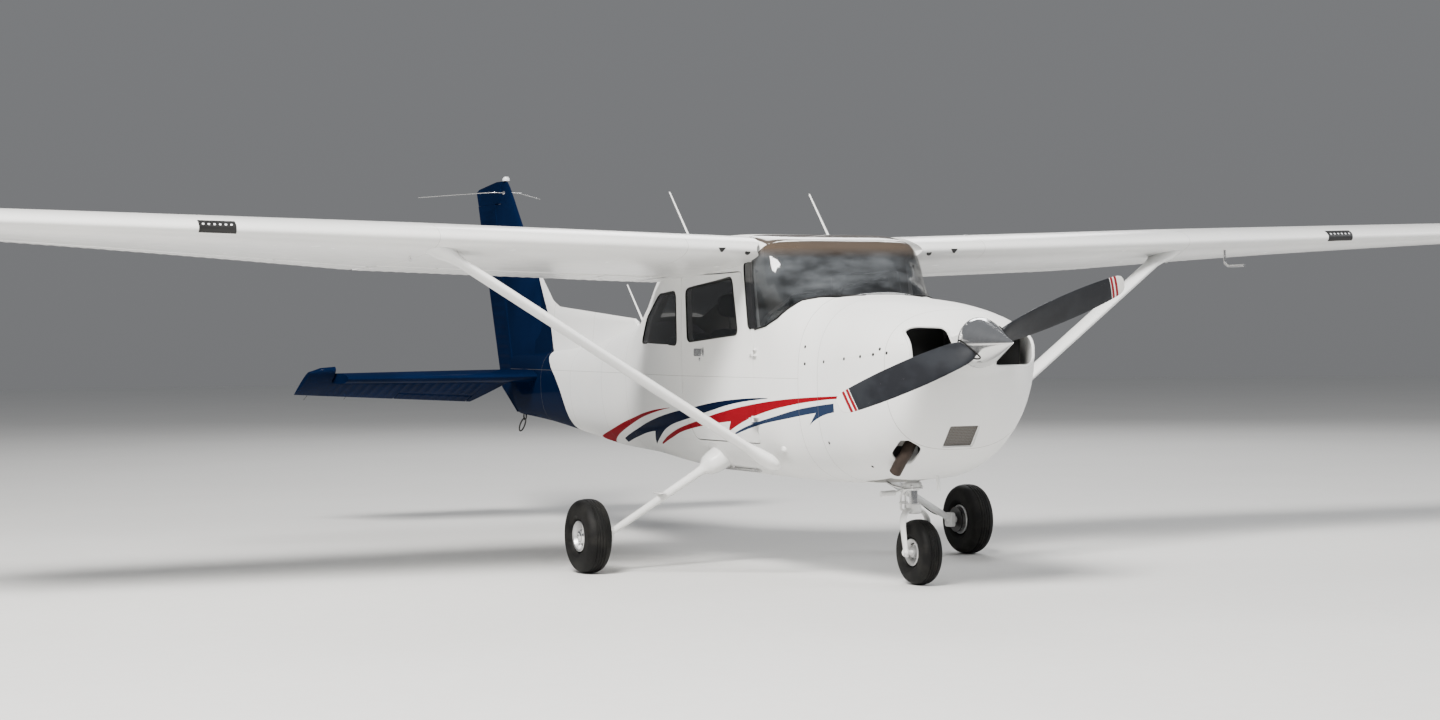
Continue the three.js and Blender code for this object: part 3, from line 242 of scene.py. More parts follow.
def pillow(low, high, power, rows, columns):
    """A rounded block: on each axis, middle + half size times a sine or cosine raised to 2 / power."""
    low, high = np.asarray(low, float), np.asarray(high, float)
    lift = lambda value: lifted(value, 2 / power)
    tilt = np.linspace(-np.pi / 2, np.pi / 2, rows + 2)[1:-1, None]
    angle = full_turn(columns)[None, :]
    x = lift(np.cos(tilt)) * lift(np.cos(angle))
    y = lift(np.cos(tilt)) * lift(np.sin(angle))
    z = np.broadcast_to(lift(np.sin(tilt)), x.shape)
    return skin((low + high) / 2 + np.stack([x, y, z], -1) * (high - low) / 2)


def rounded(corners, radius, steps=6):
    """A closed outline whose corners become curves: at a share t of a corner's turn the point is
    (1-t)^2 start + 2t(1-t) corner + t^2 end, with start and end a radius away along its edges."""
    corner = np.asarray(corners, float)
    reach = lambda other: np.minimum(radius, np.linalg.norm(other - corner, axis=1) / 2.2)[:, None]
    before, after = np.roll(corner, 1, 0), np.roll(corner, -1, 0)
    start = corner + unit(before - corner) * reach(before)
    end = corner + unit(after - corner) * reach(after)
    t = np.linspace(0, 1, steps)[None, :, None]
    curve = (1 - t) ** 2 * start[:, None] + 2 * t * (1 - t) * corner[:, None] + t**2 * end[:, None]
    return curve.reshape(-1, corner.shape[1])


def box(start, end, low, high):
    """A straight outline's four corners: from start to end along, and from low to high."""
    return [(start, low), (end, low), (end, high), (start, high)]


def slab(outline, near, far, plane, edge):
    """A plate with eased edges: the outline pulled towards its middle by the edge at both faces.
    plane gives the direction of the outline's two axes and of its depth, as unit vectors."""
    outline = np.asarray(outline, float)
    middle = outline.mean(0)
    reach = np.linalg.norm(outline - middle, axis=1, keepdims=True)
    drawn = middle + (outline - middle) * (1 - edge / reach)
    first, second, deep = (np.asarray(v, float) for v in plane)
    depths = [(near, drawn), (near + edge, outline), (far - edge, outline), (far, drawn)]
    return skin([shape[:, :1] * first + shape[:, 1:] * second + depth * deep for depth, shape in depths])


# Planes of a slab: its outline's two axes and its depth
SIDE_VIEW, FRONT_VIEW, PLAN_VIEW = (AFT, UP, ACROSS), (ACROSS, UP, AFT), (ACROSS, AFT, UP)


def mirrored(surface):
    """The same surface on the other side of the centre plane."""
    points, faces = surface
    return points * [-1, 1, 1], [corners[:, ::-1] for corners in faces]


def on_side(surface, side):
    return surface if side > 0 else mirrored(surface)


# Materials

class Socket:
    """A value on a shader node's output. Arithmetic on it adds Math nodes."""

    def __init__(self, tree, out):
        self.tree, self.out = tree, out

    def node(self, kind, settings=None, values=None, output=0):
        """Adds any other node: its settings first, then the values or links of its inputs."""
        made = self.tree.nodes.new("ShaderNode" + kind)
        for name, value in (settings or {}).items():
            setattr(made, name, value)
        for name, value in (values or {}).items():
            if isinstance(value, Socket):
                self.tree.links.new(value.out, made.inputs[name])
            else:
                made.inputs[name].default_value = value
        return Socket(self.tree, made.outputs[output]) if made.outputs else made

    def math(self, operation, first, second=0.0):
        return self.node("Math", {"operation": operation}, {0: first, 1: second})

    def __add__(self, other):
        return self.math("ADD", self, other)

    def __sub__(self, other):
        return self.math("SUBTRACT", self, other)

    def __rsub__(self, other):
        return self.math("SUBTRACT", other, self)

    def __mul__(self, other):
        return self.math("MULTIPLY", self, other)

    def __truediv__(self, other):
        return self.math("DIVIDE", self, other)

    def __lt__(self, other):
        return self.math("LESS_THAN", self, other)

    def __gt__(self, other):
        return self.math("GREATER_THAN", self, other)

    __radd__, __rmul__ = __add__, __mul__

    def size(self):
        return self.math("ABSOLUTE", self)

    def either(self, other):
        return self.math("MAXIMUM", self, other)

    def within(self, low, high):
        return (self > low) * (self < high)

    def band(self, at, half):
        """1 within a half width of a value, and 0 elsewhere."""
        return (self - at).size() < half

    def share(self, low, high):
        """0 at a low value, 1 at a high one, even between them and held beyond."""
        return self.node("MapRange", values={"Value": self, "From Min": low, "From Max": high})

    def wave(self, turn):
        """A sine of this value times a turn, from 0 to 1."""
        return self.math("SINE", self * turn) * 0.5 + 0.5

    def every(self, pitch, half):
        """1 within a half width of each multiple of a pitch."""
        return self.math("PINGPONG", self, pitch / 2) < half

    def mix(self, first, second):
        """The first colour where this value is 0, and the second where it is 1."""
        return self.node("Mix", {"data_type": "RGBA"}, {0: self, 6: first, 7: second}, output=2)

    def curve(self, stops):
        """Height in mm on a smooth curve through (station, height) stops, this value being the station."""
        stations, heights = np.asarray(sorted(stops), float).T
        low, span = stations[0], stations[-1] - stations[0]
        base, rise = heights.min(), max(np.ptp(heights), 1.0)
        made = self.tree.nodes.new("ShaderNodeFloatCurve")
        line = made.mapping.curves[0]
        for _ in stations[2:]:
            line.points.new(0.5, 0.5)
        for point, station, height in zip(line.points, stations, heights):
            point.location = ((station - low) / span, (height - base) / rise)
        made.mapping.update()
        self.tree.links.new(((self - low) / span).out, made.inputs["Value"])
        return Socket(self.tree, made.outputs[0]) * rise + base


class Finish:
    """A new material: the object's coordinates in mm by side, station and height, and its shader."""

    def __init__(self, name):
        self.material = bpy.data.materials.new(name)
        self.material.use_nodes = True
        tree = self.material.node_tree
        self.shader = tree.nodes["Principled BSDF"]
        start = Socket(tree, None)
        self.place = start.node("TexCoord", output=3)
        axes = start.node("SeparateXYZ", values={0: self.place})
        parts = [Socket(tree, out) for out in axes.out.node.outputs]
        self.x, self.z = parts[0] * 1000, parts[2] * 1000
        self.y = parts[1] * 1000 + MID_STATION

    def noise(self, scale, detail=3.0, roughness=0.5, stretch=(1, 1, 1)):
        """Clouds with a scale in cells per metre, stretched by axis."""
        where = self.place.node("Mapping", values={"Vector": self.place, "Scale": stretch})
        values = {"Vector": where, "Scale": scale, "Detail": detail, "Roughness": roughness}
        return self.place.node("TexNoise", values=values)

    def gloss(self, roughness=0.24):
        """The slightly uneven roughness of paint."""
        return self.noise(9, 4) * 0.16 + (roughness - 0.08)

    def wire(self, **inputs):
        """Sets the shader's inputs, named with _ for a space, to values or links."""
        for name, value in inputs.items():
            socket = self.shader.inputs[name.replace("_", " ")]
            if isinstance(value, Socket):
                value.tree.links.new(value.out, socket)
            else:
                socket.default_value = value
        return self

    def bump(self, height, depth, strength=1.0):
        """Raises the surface by a height from 0 to 1 times a depth in metres."""
        made = height.node("Bump", values={"Height": height, "Distance": depth, "Strength": strength})
        return self.wire(Normal=made)


def grey(value):
    return (value, value, value, 1)


WHITE = (0.80, 0.80, 0.785, 1)
WHITE_SHADE = (0.76, 0.765, 0.76, 1)
NAVY = (0.002, 0.007, 0.026, 1)
RED = (0.22, 0.003, 0.010, 1)
SLATE = (0.016, 0.028, 0.062, 1)


def tinted(finish, first, second, scale):
    """A colour that drifts between two tints on soft clouds."""
    return finish.noise(scale).share(0.4, 0.65).mix(first, second)


def paint(name, colour, shade, roughness=0.24, sheen=0.26):
    """Gloss paint over sheet metal: a slow drift of tint, faint dust and a slightly uneven gloss."""
    made = Finish(name)
    made.wire(Base_Color=tinted(made, colour, shade, 1.5), Roughness=made.gloss(roughness),
              Specular_IOR_Level=sheen, Coat_Weight=0.05, Coat_Roughness=0.06)
    return made.bump(made.noise(2.2, 2), 0.004, 0.25).material


def sheet_metal(made, colour, seams, rivets, clouds, sheen, coat):
    """Gloss paint over riveted sheets: rivets stand out, seams sink and the sheets wave a little."""
    made.wire(Base_Color=colour, Roughness=made.gloss(), Specular_IOR_Level=sheen, Coat_Weight=coat,
              Coat_Roughness=0.06)
    relief = made.noise(clouds, 2) * 0.8 + rivets * 0.25 - seams * 0.5
    return made.bump(relief, 0.004, 0.3).material


# Rivets and joints of the fuselage and wings: stations, heights and sides in mm
FRAMES = [-686, 0, 205, 3110, 3683, 4445, 5207]
LAP_HEIGHT = 1180
LAP_START = 205
LAP_RIVETS = 1168
RIVET_PITCH, RIVET_RADIUS = 32, 2.6
RIVET_ROWS = {"pitch": 381, "shift": 12, "start": 30, "girth": 520}
WING_RIBS = 400
WING_SPARS = (1010, 1680)
WING_LAPS = {1010: 1.5, 2540: 1.5, 5270: 2.0}  # half width by side
BELLY_DARKENING = (900.0, 560.0)  # heights where the darkening starts and where it is full

# Edges of the four stripes as (station, height), read off the right side and repeated on the left
RED_TAIL = {
    "upper": [(4038, 719), (3707, 770), (3109, 868), (2513, 939), (2020, 974)],
    "lower": [(3727, 701), (3308, 794), (2830, 880), (2247, 949), (2020, 971)],
}
NAVY_MAIN = {
    "upper": [(3449, 726), (2910, 820), (2274, 909), (1667, 979), (1224, 1029), (807, 1056), (571, 1062)],
    "rear": [(3314, 717), (3045, 754), (2672, 795), (2487, 808)],
    "front": [(2658, 714), (2452, 763), (2084, 854), (1734, 908), (1373, 967), (1015, 1021), (571, 1058)],
    "hook": (2658, 714),
    "notch": (2487, 808),
}
RED_MAIN = {
    "upper": [(2465, 729), (2010, 824), (1669, 885), (1159, 972), (745, 1023), (305, 1061), (-276, 1088)],
    "rear": [(2457, 722), (2136, 774), (1716, 846), (1312, 892), (1093, 910)],
    "front": [(1149, 844), (1021, 884), (898, 918), (750, 952), (308, 1023), (-138, 1066), (-274, 1071)],
    "hook": (1149, 844),
    "notch": (1093, 910),
}
SLATE_LOW = {
    "upper": [(1067, 840), (839, 895), (493, 955), (141, 1012), (-182, 1044)],
    "rear": [(1072, 828), (704, 899), (314, 950), (28, 986)],
    "front": [(107, 912), (20, 952), (-73, 977), (-175, 993)],
    "hook": (107, 912),
    "notch": (28, 986),
}
NAVY_EDGE = [(819, 4597), (964, 4654), (1109, 4805), (1224, 5023), (1300, 5150), (1553, 5300), (2652, 6120)]


def stripe(y, z, edges):
    """1 between a stripe's edges. A stripe with a hook has a spike: forward of the hook its lower edge
    is the front one, and behind the notch a white wedge parts the spike from the rear edge."""
    upper = edges["upper"]
    ahead, behind = min(upper)[0], max(upper)[0]
    under_top = (z < y.curve(upper)) * y.within(ahead, behind)
    if "lower" in edges:
        return under_top * (z > y.curve(edges["lower"]))
    (hook_y, hook_z), (notch_y, notch_z) = edges["hook"], edges["notch"]
    slope = (hook_z - notch_z) / (hook_y - notch_y)
    spike = (z < (y - notch_y) * slope + notch_z) * (y < hook_y)
    rear = (y > notch_y) * (z > y.curve(edges["rear"]))
    front = (z > y.curve(edges["front"])) * ((y < notch_y).either(spike))
    return under_top * rear.either(front)


def hull_paint():
    """White paint with the four stripes, the navy tail behind its slanting edge, rivets and joints."""
    made = Finish("hull_paint")
    x, y, z = made.x, made.y, made.z
    coloured = tinted(made, WHITE, WHITE_SHADE, 1.5)
    for edges, colour in [(RED_TAIL, RED), (NAVY_MAIN, NAVY), (RED_MAIN, RED), (SLATE_LOW, SLATE)]:
        coloured = stripe(y, z, edges).mix(coloured, colour)
    coloured = (y > z.curve(NAVY_EDGE)).mix(coloured, NAVY)
    behind = y > LAP_START
    seams = z.band(LAP_HEIGHT, 1.4) * behind
    for station in FRAMES:
        seams = seams.either(y.band(station, 1.6))
    around = x.math("ARCTAN2", z - LAP_HEIGHT, x) * RIVET_ROWS["girth"]
    rivets = (y + RIVET_ROWS["shift"]).every(RIVET_ROWS["pitch"], RIVET_RADIUS) * (y > RIVET_ROWS["start"])
    rivets = rivets * around.every(RIVET_PITCH, RIVET_RADIUS)
    lap_row = z.band(LAP_RIVETS, RIVET_RADIUS) * y.every(RIVET_PITCH, RIVET_RADIUS) * behind
    # Darker towards the bottom, in clouds stretched along the hull.
    low_darkening = made.noise(6, 5, 0.6, (1, 0.3, 1)) * z.share(*BELLY_DARKENING) * 0.10
    marked = (seams * 0.55).either(low_darkening).mix(coloured, (0.16, 0.15, 0.13, 1))
    return sheet_metal(made, marked, seams, rivets.either(lap_row), 1.8, 0.0, 0.05)


def wing_paint():
    """White paint with rib and spar rivet rows, skin laps and a little dust."""
    made = Finish("wing_paint")
    body = tinted(made, WHITE, WHITE_SHADE, 1.2)
    side = made.x.size()
    ribs = side.every(WING_RIBS, RIVET_RADIUS) * made.y.every(RIVET_PITCH, RIVET_RADIUS)
    front, rear = (made.y.band(station, RIVET_RADIUS) for station in WING_SPARS)
    rivets = ribs.either(front.either(rear) * side.every(RIVET_PITCH, RIVET_RADIUS))
    first, *laps = (side.band(at, half) for at, half in WING_LAPS.items())
    for lap in laps:
        first = first.either(lap)
    dust = made.noise(5, 5, 0.6, (0.4, 1, 1)) * 0.12
    marked = (first * 0.5).either(dust).mix(body, (0.2, 0.19, 0.17, 1))
    return sheet_metal(made, marked, first, rivets, 2.0, 0.26, 0.06)


def glass(name, colour, alpha, band=None, painted_sky_glare=0.0):
    """Tinted acrylic: dark and clear, with faint wiping haze, a painted reflection of the bright sky as
    pale clouds on a sloping pane, and a tan sun band above a height."""
    made = Finish(name)
    haze = made.noise(4, 4, 0.6, (1, 1, 3))
    tint, cover = colour, haze * 0.08 + (alpha - 0.04)
    if painted_sky_glare:
        # Painted reflection: pale clouds of sky glare mixed into the tint, and the pane made more opaque
        # there.
        cloud = made.noise(2.1, 5, 0.62, (1, 1, 2.2)).share(0.42, 0.72)
        tint = (cloud * painted_sky_glare).mix(colour, (0.50, 0.54, 0.58, 1))
        cover = cover + cloud * painted_sky_glare * 0.5
    if band:
        shade = made.z.share(*band)
        tint = shade.mix(tint, (0.075, 0.055, 0.040, 1))
        cover = cover + shade * 0.4
    return made.wire(Base_Color=tint, Roughness=haze * 0.10 + 0.03, Alpha=cover, IOR=1.49,
                     Specular_IOR_Level=0.7).material


def metal(name, first, second, roughness, metallic=1.0, scale=30, grain=(1, 1, 1)):
    """Bare or plated metal: two tints on fine clouds, brushed or cast by the clouds' stretch."""
    made = Finish(name)
    fine = made.noise(scale, 4, 0.6, grain)
    made.wire(Base_Color=fine.mix(first, second), Metallic=metallic,
              Roughness=fine * 0.2 + (roughness - 0.1))
    return made.bump(fine, 0.0005, 0.3).material


def rubber(name, colour, dust):
    """Black rubber, duller and dustier in patches."""
    made = Finish(name)
    patches = made.noise(12, 5, 0.65)
    tone = patches.share(0.45, 0.8).mix(grey(colour), (dust, dust * 0.95, dust * 0.85, 1))
    made.wire(Base_Color=tone, Roughness=patches * 0.3 + 0.5, Specular_IOR_Level=0.16)
    return made.bump(made.noise(260, 2), 0.0004, 0.5).material


def cloth(name, first, second, thread=2.4):
    """Woven cloth: threads cross in ridges, (1 - |sin|) along each way, over a mottled tint."""
    made = Finish(name)
    turn = math.pi / thread
    ridge = lambda axis: 1 - axis.math("SINE", axis * turn).size()
    weave = ridge(made.x).either(ridge(made.z + made.y))
    mottle = made.noise(25, 3)
    tone = (weave * 0.35 + mottle * 0.65).mix(first, second)
    made.wire(Base_Color=tone, Roughness=mottle * 0.1 + 0.85, Sheen_Weight=0.3)
    return made.bump(weave, 0.0006, 0.6).material


def blade_paint():
    """Satin dark grey blades, chipped outboard, with white tips and two red bands. The distance from
    the crankshaft is the root of side squared plus height squared."""
    made = Finish("blade_paint")
    side, rise = made.x, made.z - AXIS_HEIGHT
    reach = side.math("SQRT", side * side + rise * rise)
    body = tinted(made, (0.010, 0.011, 0.014, 1), (0.018, 0.020, 0.024, 1), 8)
    tip = (reach > BLADE_MARKS["white"]).mix(body, (0.75, 0.74, 0.71, 1))
    inner, outer = (reach.band(at, 8) for at in BLADE_MARKS["bands"])
    bands = inner.either(outer).mix(tip, RED)
    wear = made.noise(55, 5, 0.7)
    chips = (wear > 0.70) * (reach > BLADE_MARKS["chips"])
    marked = (chips * 0.6).mix(bands, grey(0.35))
    return made.wire(Base_Color=marked, Roughness=wear * 0.2 + 0.35, Specular_IOR_Level=0.25).material


def mesh_screen():
    """Oiled filter paper behind a wire screen: a square lattice of bright wires on brown."""
    made = Finish("filter_screen")
    wires = made.x.every(9, 1.2).either(made.z.every(9, 1.2))
    back = (made.x.wave(0.5) * 0.6).mix((0.045, 0.034, 0.024, 1), (0.090, 0.070, 0.050, 1))
    made.wire(Base_Color=wires.mix(back, grey(0.12)), Roughness=0.6 - wires * 0.1, Metallic=wires * 0.4)
    return made.bump(wires, 0.001, 0.6).material


def lamp_glass(name, colour, strength):
    """A moulded lens: fine ribs and a little light of its own."""
    made = Finish(name)
    ribs = made.z.wave(1.2)
    made.wire(Base_Color=(ribs * 0.3).mix(colour, grey(0.6)), Roughness=ribs * 0.1 + 0.08,
              Emission_Color=colour, Emission_Strength=strength)
    return made.bump(ribs, 0.001, 0.5).material


AXIS_HEIGHT = 1382  # of the crankshaft
BLADE_MARKS = {"white": 872, "bands": (884, 910), "chips": 500}  # distances along a blade
HULL = hull_paint()
WING = wing_paint()
PAINT = paint("gear_paint", WHITE, (0.74, 0.745, 0.74, 1))
TAIL = paint("navy_paint", NAVY, (0.003, 0.010, 0.038, 1), 0.2, 0.0)
GLASS = glass("window_glass", (0.005, 0.006, 0.007, 1), 0.52)
SHIELD = glass("windshield_glass", (0.006, 0.007, 0.008, 1), 0.46, (1885, 1950), 0.24)
PANE = glass("side_pane_glass", (0.010, 0.010, 0.011, 1), 0.95)
TOP_GLASS = glass("top_glass", (0.075, 0.058, 0.045, 1), 0.93)
RUBBER = rubber("tyre_rubber", 0.004, 0.022)
SEAL = rubber("seal_rubber", 0.006, 0.02)
WHEEL = metal("wheel_metal", grey(0.50), grey(0.62), 0.38, 0.9, 60)
STEEL = metal("bright_steel", grey(0.56), grey(0.68), 0.25, 1.0, 40)
CHROME = metal("polished_metal", grey(0.72), grey(0.80), 0.15, 1.0, 14, (1, 6, 1))
IRON = metal("engine_metal", grey(0.07), grey(0.16), 0.55, 0.7, 25)
SOOT = metal("exhaust_metal", (0.022, 0.015, 0.012, 1), (0.060, 0.042, 0.032, 1), 0.6, 0.6, 22)
DISC = metal("brake_disc", grey(0.045), grey(0.11), 0.4, 0.9, 50)
BLADE = blade_paint()
SCREEN = mesh_screen()
PANEL = rubber("black_panel", 0.018, 0.03)
LINING = cloth("cabin_lining", (0.40, 0.375, 0.335, 1), (0.47, 0.445, 0.40, 1), 3.5)
CLOTH = cloth("seat_cloth", (0.055, 0.055, 0.060, 1), (0.12, 0.118, 0.115, 1))
CARPET = cloth("carpet", (0.045, 0.048, 0.055, 1), (0.085, 0.088, 0.095, 1), 5.0)
RED_LENS = lamp_glass("red_lens", (0.55, 0.03, 0.02, 1), 0.15)
GREEN_LENS = lamp_glass("green_lens", (0.02, 0.40, 0.12, 1), 0.15)
CLEAR_LENS = lamp_glass("clear_lens", (0.75, 0.76, 0.78, 1), 0.1)
DIAL = lamp_glass("dial_face", (0.02, 0.02, 0.022, 1), 0.0)
INK = paint("black_paint", grey(0.012), grey(0.02), 0.4)
SLOT_OF = {
    HULL: "white_paint", WING: "white_paint", PAINT: "white_paint", TAIL: "navy_paint",
    GLASS: "window", SHIELD: "window", RUBBER: "tyre_rubber", WHEEL: "wheel_metal",
    CHROME: "polished_metal", IRON: "engine_metal", SOOT: "exhaust_metal", BLADE: "blade_metal",
    SCREEN: "filter_mesh", PANEL: "black_panel", CLOTH: "seat_cloth", RED_LENS: "red_lens",
}


# Pieces

def linked(name, data):
    """A new object in the scene."""
    made = bpy.data.objects.new(name, data)
    bpy.context.scene.collection.objects.link(made)
    return made


def corners_of(mesh):
    """A mesh's points, in metres of the scene."""
    flat = np.empty(len(mesh.vertices) * 3)
    mesh.vertices.foreach_get("co", flat)
    return flat.reshape(-1, 3)


def from_scene(points):
    return points * 1000 + [0, MID_STATION, 0]


def move_corners(mesh, points):
    mesh.vertices.foreach_set("co", points.ravel())
    mesh.update()


def finished(made, material, body, replaces=()):
    """Gives a piece its material, the body that it rides on and the frame's nodes that it stands for."""
    if not made.data.materials:
        made.data.materials.append(material)
    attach(made, body)
    material in SLOT_OF
    if replaces:
        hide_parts(*([replaces] if isinstance(replaces, str) else replaces))
    return made


def piece(name, surfaces, material, body="airframe", replaces=(), sharp=38):
    """One object from one or several surfaces, shaded smooth but for edges past the sharp angle."""
    if isinstance(surfaces, tuple):
        surfaces = [surfaces]
    start, points, faces = 0, [], []
    for corners, sets in surfaces:
        points.append(corners)
        faces += [row for one in sets for row in (one + start).tolist()]
        start += len(corners)
    mesh = bpy.data.meshes.new(name)
    mesh.from_pydata(to_scene(np.concatenate(points)).tolist(), [], faces)
    mesh.polygons.foreach_set("use_smooth", np.ones(len(mesh.polygons), bool))
    mesh.set_sharp_from_angle(angle=math.radians(sharp))
    return finished(linked(name, mesh), material, body, replaces)


def pair(name, surfaces, material, bodies="airframe", replaces=None):
    """The same piece on both sides, made for the left one."""
    surfaces = [surfaces] if isinstance(surfaces, tuple) else surfaces
    for word, side in SIDES.items():
        body = bodies if bodies == "airframe" else f"{bodies}_{word}"
        stands_for = f"{replaces}_{word}" if replaces else ()
        sided = [on_side(one, side) for one in surfaces]
        piece(f"{name}_{word}", sided, material, body, stands_for)


# The fuselage and cowling as one smooth hull, by section:
# station, half width, bottom, height of the greatest width, top, lower power, upper power
SECTIONS = np.array([
    [-912, 225, 1225, 1335, 1440, 2.4, 2.4],
    [-890, 335, 1150, 1330, 1468, 2.6, 2.5],
    [-850, 395, 1040, 1320, 1500, 2.6, 2.5],
    [-787, 432, 915, 1300, 1534, 2.7, 2.5],
    [-686, 465, 790, 1270, 1566, 2.8, 2.5],
    [-508, 498, 672, 1230, 1600, 2.9, 2.6],
    [-305, 513, 605, 1195, 1626, 3.0, 2.65],
    [0, 521, 574, 1168, 1651, 3.0, 2.7],
    [152, 535, 566, 1168, 1665, 3.0, 2.7],
    [356, 548, 560, 1175, 1800, 3.1, 2.7],
    [559, 554, 558, 1190, 1925, 3.2, 4.0],
    [711, 556, 558, 1195, 2005, 3.2, 9.5],
    [914, 556, 560, 1210, 2035, 3.3, 10.0],
    [1270, 556, 565, 1219, 2050, 3.4, 10.0],
    [1778, 553, 572, 1219, 2030, 3.4, 9.5],
    [2134, 520, 583, 1219, 1984, 3.2, 7.0],
    [2337, 490, 592, 1219, 1934, 3.1, 5.0],
    [2692, 424, 612, 1205, 1756, 3.0, 3.4],
    [3048, 360, 632, 1180, 1580, 2.8, 2.8],
    [3683, 287, 655, 1143, 1475, 2.6, 2.4],
    [4445, 208, 722, 1105, 1367, 2.5, 2.3],
    [5207, 132, 790, 1092, 1321, 2.4, 2.2],
    [6080, 56, 842, 1080, 1295, 2.2, 2.2],
])
FACETS = 28  # corners of the frame's rings
# The frame's solids have rounder upper corners at these stations: their top and upper power
FRAME_TOPS = {559: (1925, 3.2), 711: (1995, 4.2), 914: (2035, 5.0), 1270: (2050, 5.5), 1778: (2030, 5.5),
              2134: (1984, 5.0), 2337: (1934, 4.4)}
FRAME_SECTIONS = SECTIONS.copy()
for row in FRAME_SECTIONS:
    row[[4, 6]] = FRAME_TOPS.get(row[0], row[[4, 6]])


def section(station):
    """The hull's section values at any stations, eased along it."""
    return [eased(station, SECTIONS[:, 0], column) for column in SECTIONS.T[1:]]


def oval(station, height):
    """At stations and heights: the section's half width, the rise above its widest height, how far the
    section reaches that way, its power there and the widest height itself."""
    wide, bottom, widest, top, low, high = section(station)
    rise = height - widest
    above = rise > 0
    return wide, rise, np.where(above, top - widest, widest - bottom), np.where(above, high, low), widest


def hull_reach(x, y, z):
    """How far the hull's skin is from its centre line in a point's direction. On the skin,
    |side / half width| ^ power + |rise / reach| ^ power = 1, above and below the widest height."""
    wide, rise, reach, power, widest = oval(y, z)
    length = np.maximum(np.hypot(x, rise), 1e-6)
    total = (np.abs(x) / wide / length) ** power + (np.abs(rise) / reach / length) ** power
    return total ** (-1 / power), length, widest


def facet_reach(x, y, z, widest):
    """The same for the frame's rings of straight edges: the ray from the centre line meets the edge
    from corner a to corner b at the length (a x (b - a)) / (ray x (b - a))."""
    angle = 2 * np.pi * np.arange(FACETS) / FACETS
    cos, sin = np.cos(angle), np.sin(angle)
    _, wide, bottom, middle, top, low, high = (column[:, None] for column in FRAME_SECTIONS.T)
    power = np.where(sin > 0, high, low)
    ring_x = wide * lifted(cos, 2 / power)
    ring_z = middle + np.where(sin > 0, top - middle, middle - bottom) * lifted(sin, 2 / power)
    row = np.clip(np.searchsorted(SECTIONS[:, 0], y, side="right") - 1, 0, len(SECTIONS) - 2)
    share = (y - SECTIONS[row, 0]) / (SECTIONS[row + 1, 0] - SECTIONS[row, 0])
    share = np.clip(share, 0, 1)[:, None]
    ax = ring_x[row] * (1 - share) + ring_x[row + 1] * share
    az = ring_z[row] * (1 - share) + ring_z[row + 1] * share - widest[:, None]
    bx, bz = np.roll(ax, -1, 1) - ax, np.roll(az, -1, 1) - az
    length = np.maximum(np.hypot(x, z - widest), 1e-6)
    dx, dz = (x / length)[:, None], ((z - widest) / length)[:, None]
    across = dx * bz - dz * bx
    across = np.where(np.abs(across) < 1e-9, 1e-9, across)
    reach = (ax * bz - az * bx) / across
    along = (ax * dz - az * dx) / across
    hit = (along > -1e-6) & (along < 1 + 1e-6) & (reach > 0)
    return np.where(hit, reach, 0).max(1)


def hull_normal(points):
    """The skin's direction at points: the slope of (distance from the centre line - hull_reach)."""
    slopes = []
    for axis in np.eye(3):
        ahead, behind = (points + axis).T, (points - axis).T
        reach_ahead, length_ahead, _ = hull_reach(*ahead)
        reach_behind, length_behind, _ = hull_reach(*behind)
        slopes.append(length_ahead - reach_ahead - length_behind + reach_behind)
    return unit(np.stack(slopes, 1))


def side_of_hull(station, height):
    """The skin's distance from the centre plane at a station and height, 0 above its top."""
    station, height = np.broadcast_arrays(np.asarray(station, float), np.asarray(height, float))
    wide, rise, reach, power, _ = oval(station, height)
    return wide * np.clip(1 - (np.abs(rise) / reach) ** power, 0, 1) ** (1 / power)


# The air inlets as (side, height), taller below than the frame's holes, which they take in
INLET = [(96, 1250), (192, 1470), (336, 1477), (388, 1448), (393, 1380), (388, 1285), (345, 1250)]


INLET_DEPTH = (-925, -705)


def less_inlets(mesh):
    """The mesh with a prism cut out of it at each inlet."""
    made = linked("cowl", mesh)
    knives = []
    for side in SIDES.values():
        points, faces = slab(inlet_line() * [side, 1], *INLET_DEPTH, FRONT_VIEW, 0.5)
        knife_mesh = bpy.data.meshes.new("knife")
        knife_faces = [row for one in outward(points, faces)[1] for row in one.tolist()]
        knife_mesh.from_pydata(to_scene(points).tolist(), [], knife_faces)
        knives.append(linked("knife", knife_mesh))
        cut = made.modifiers.new("cut", "BOOLEAN")
        cut.operation, cut.solver, cut.object = "DIFFERENCE", "EXACT", knives[-1]
    cut_mesh = bpy.data.meshes.new_from_object(made.evaluated_get(bpy.context.evaluated_depsgraph_get()))
    for spare in (made, *knives):
        bpy.data.objects.remove(spare)
    return cut_mesh


def inlet_line():
    return rounded(INLET, 30, 8)


HINGE_LINES = [(566, 742), (544, 1987)]  # side and station of the cabin doors' and the hatch's pins
KNUCKLE = 9.5
SPLIT_LENGTHS = (0.44, 0.22, 0.11, 0.055, 0.055)  # longest edges after each round, in metres
EASING = {"start": 0.5, "over": 0.3}  # shares of the way from the centre line to the facet
SAME_WAY = 0.85  # cosine of the angle within which a face takes the hull's direction


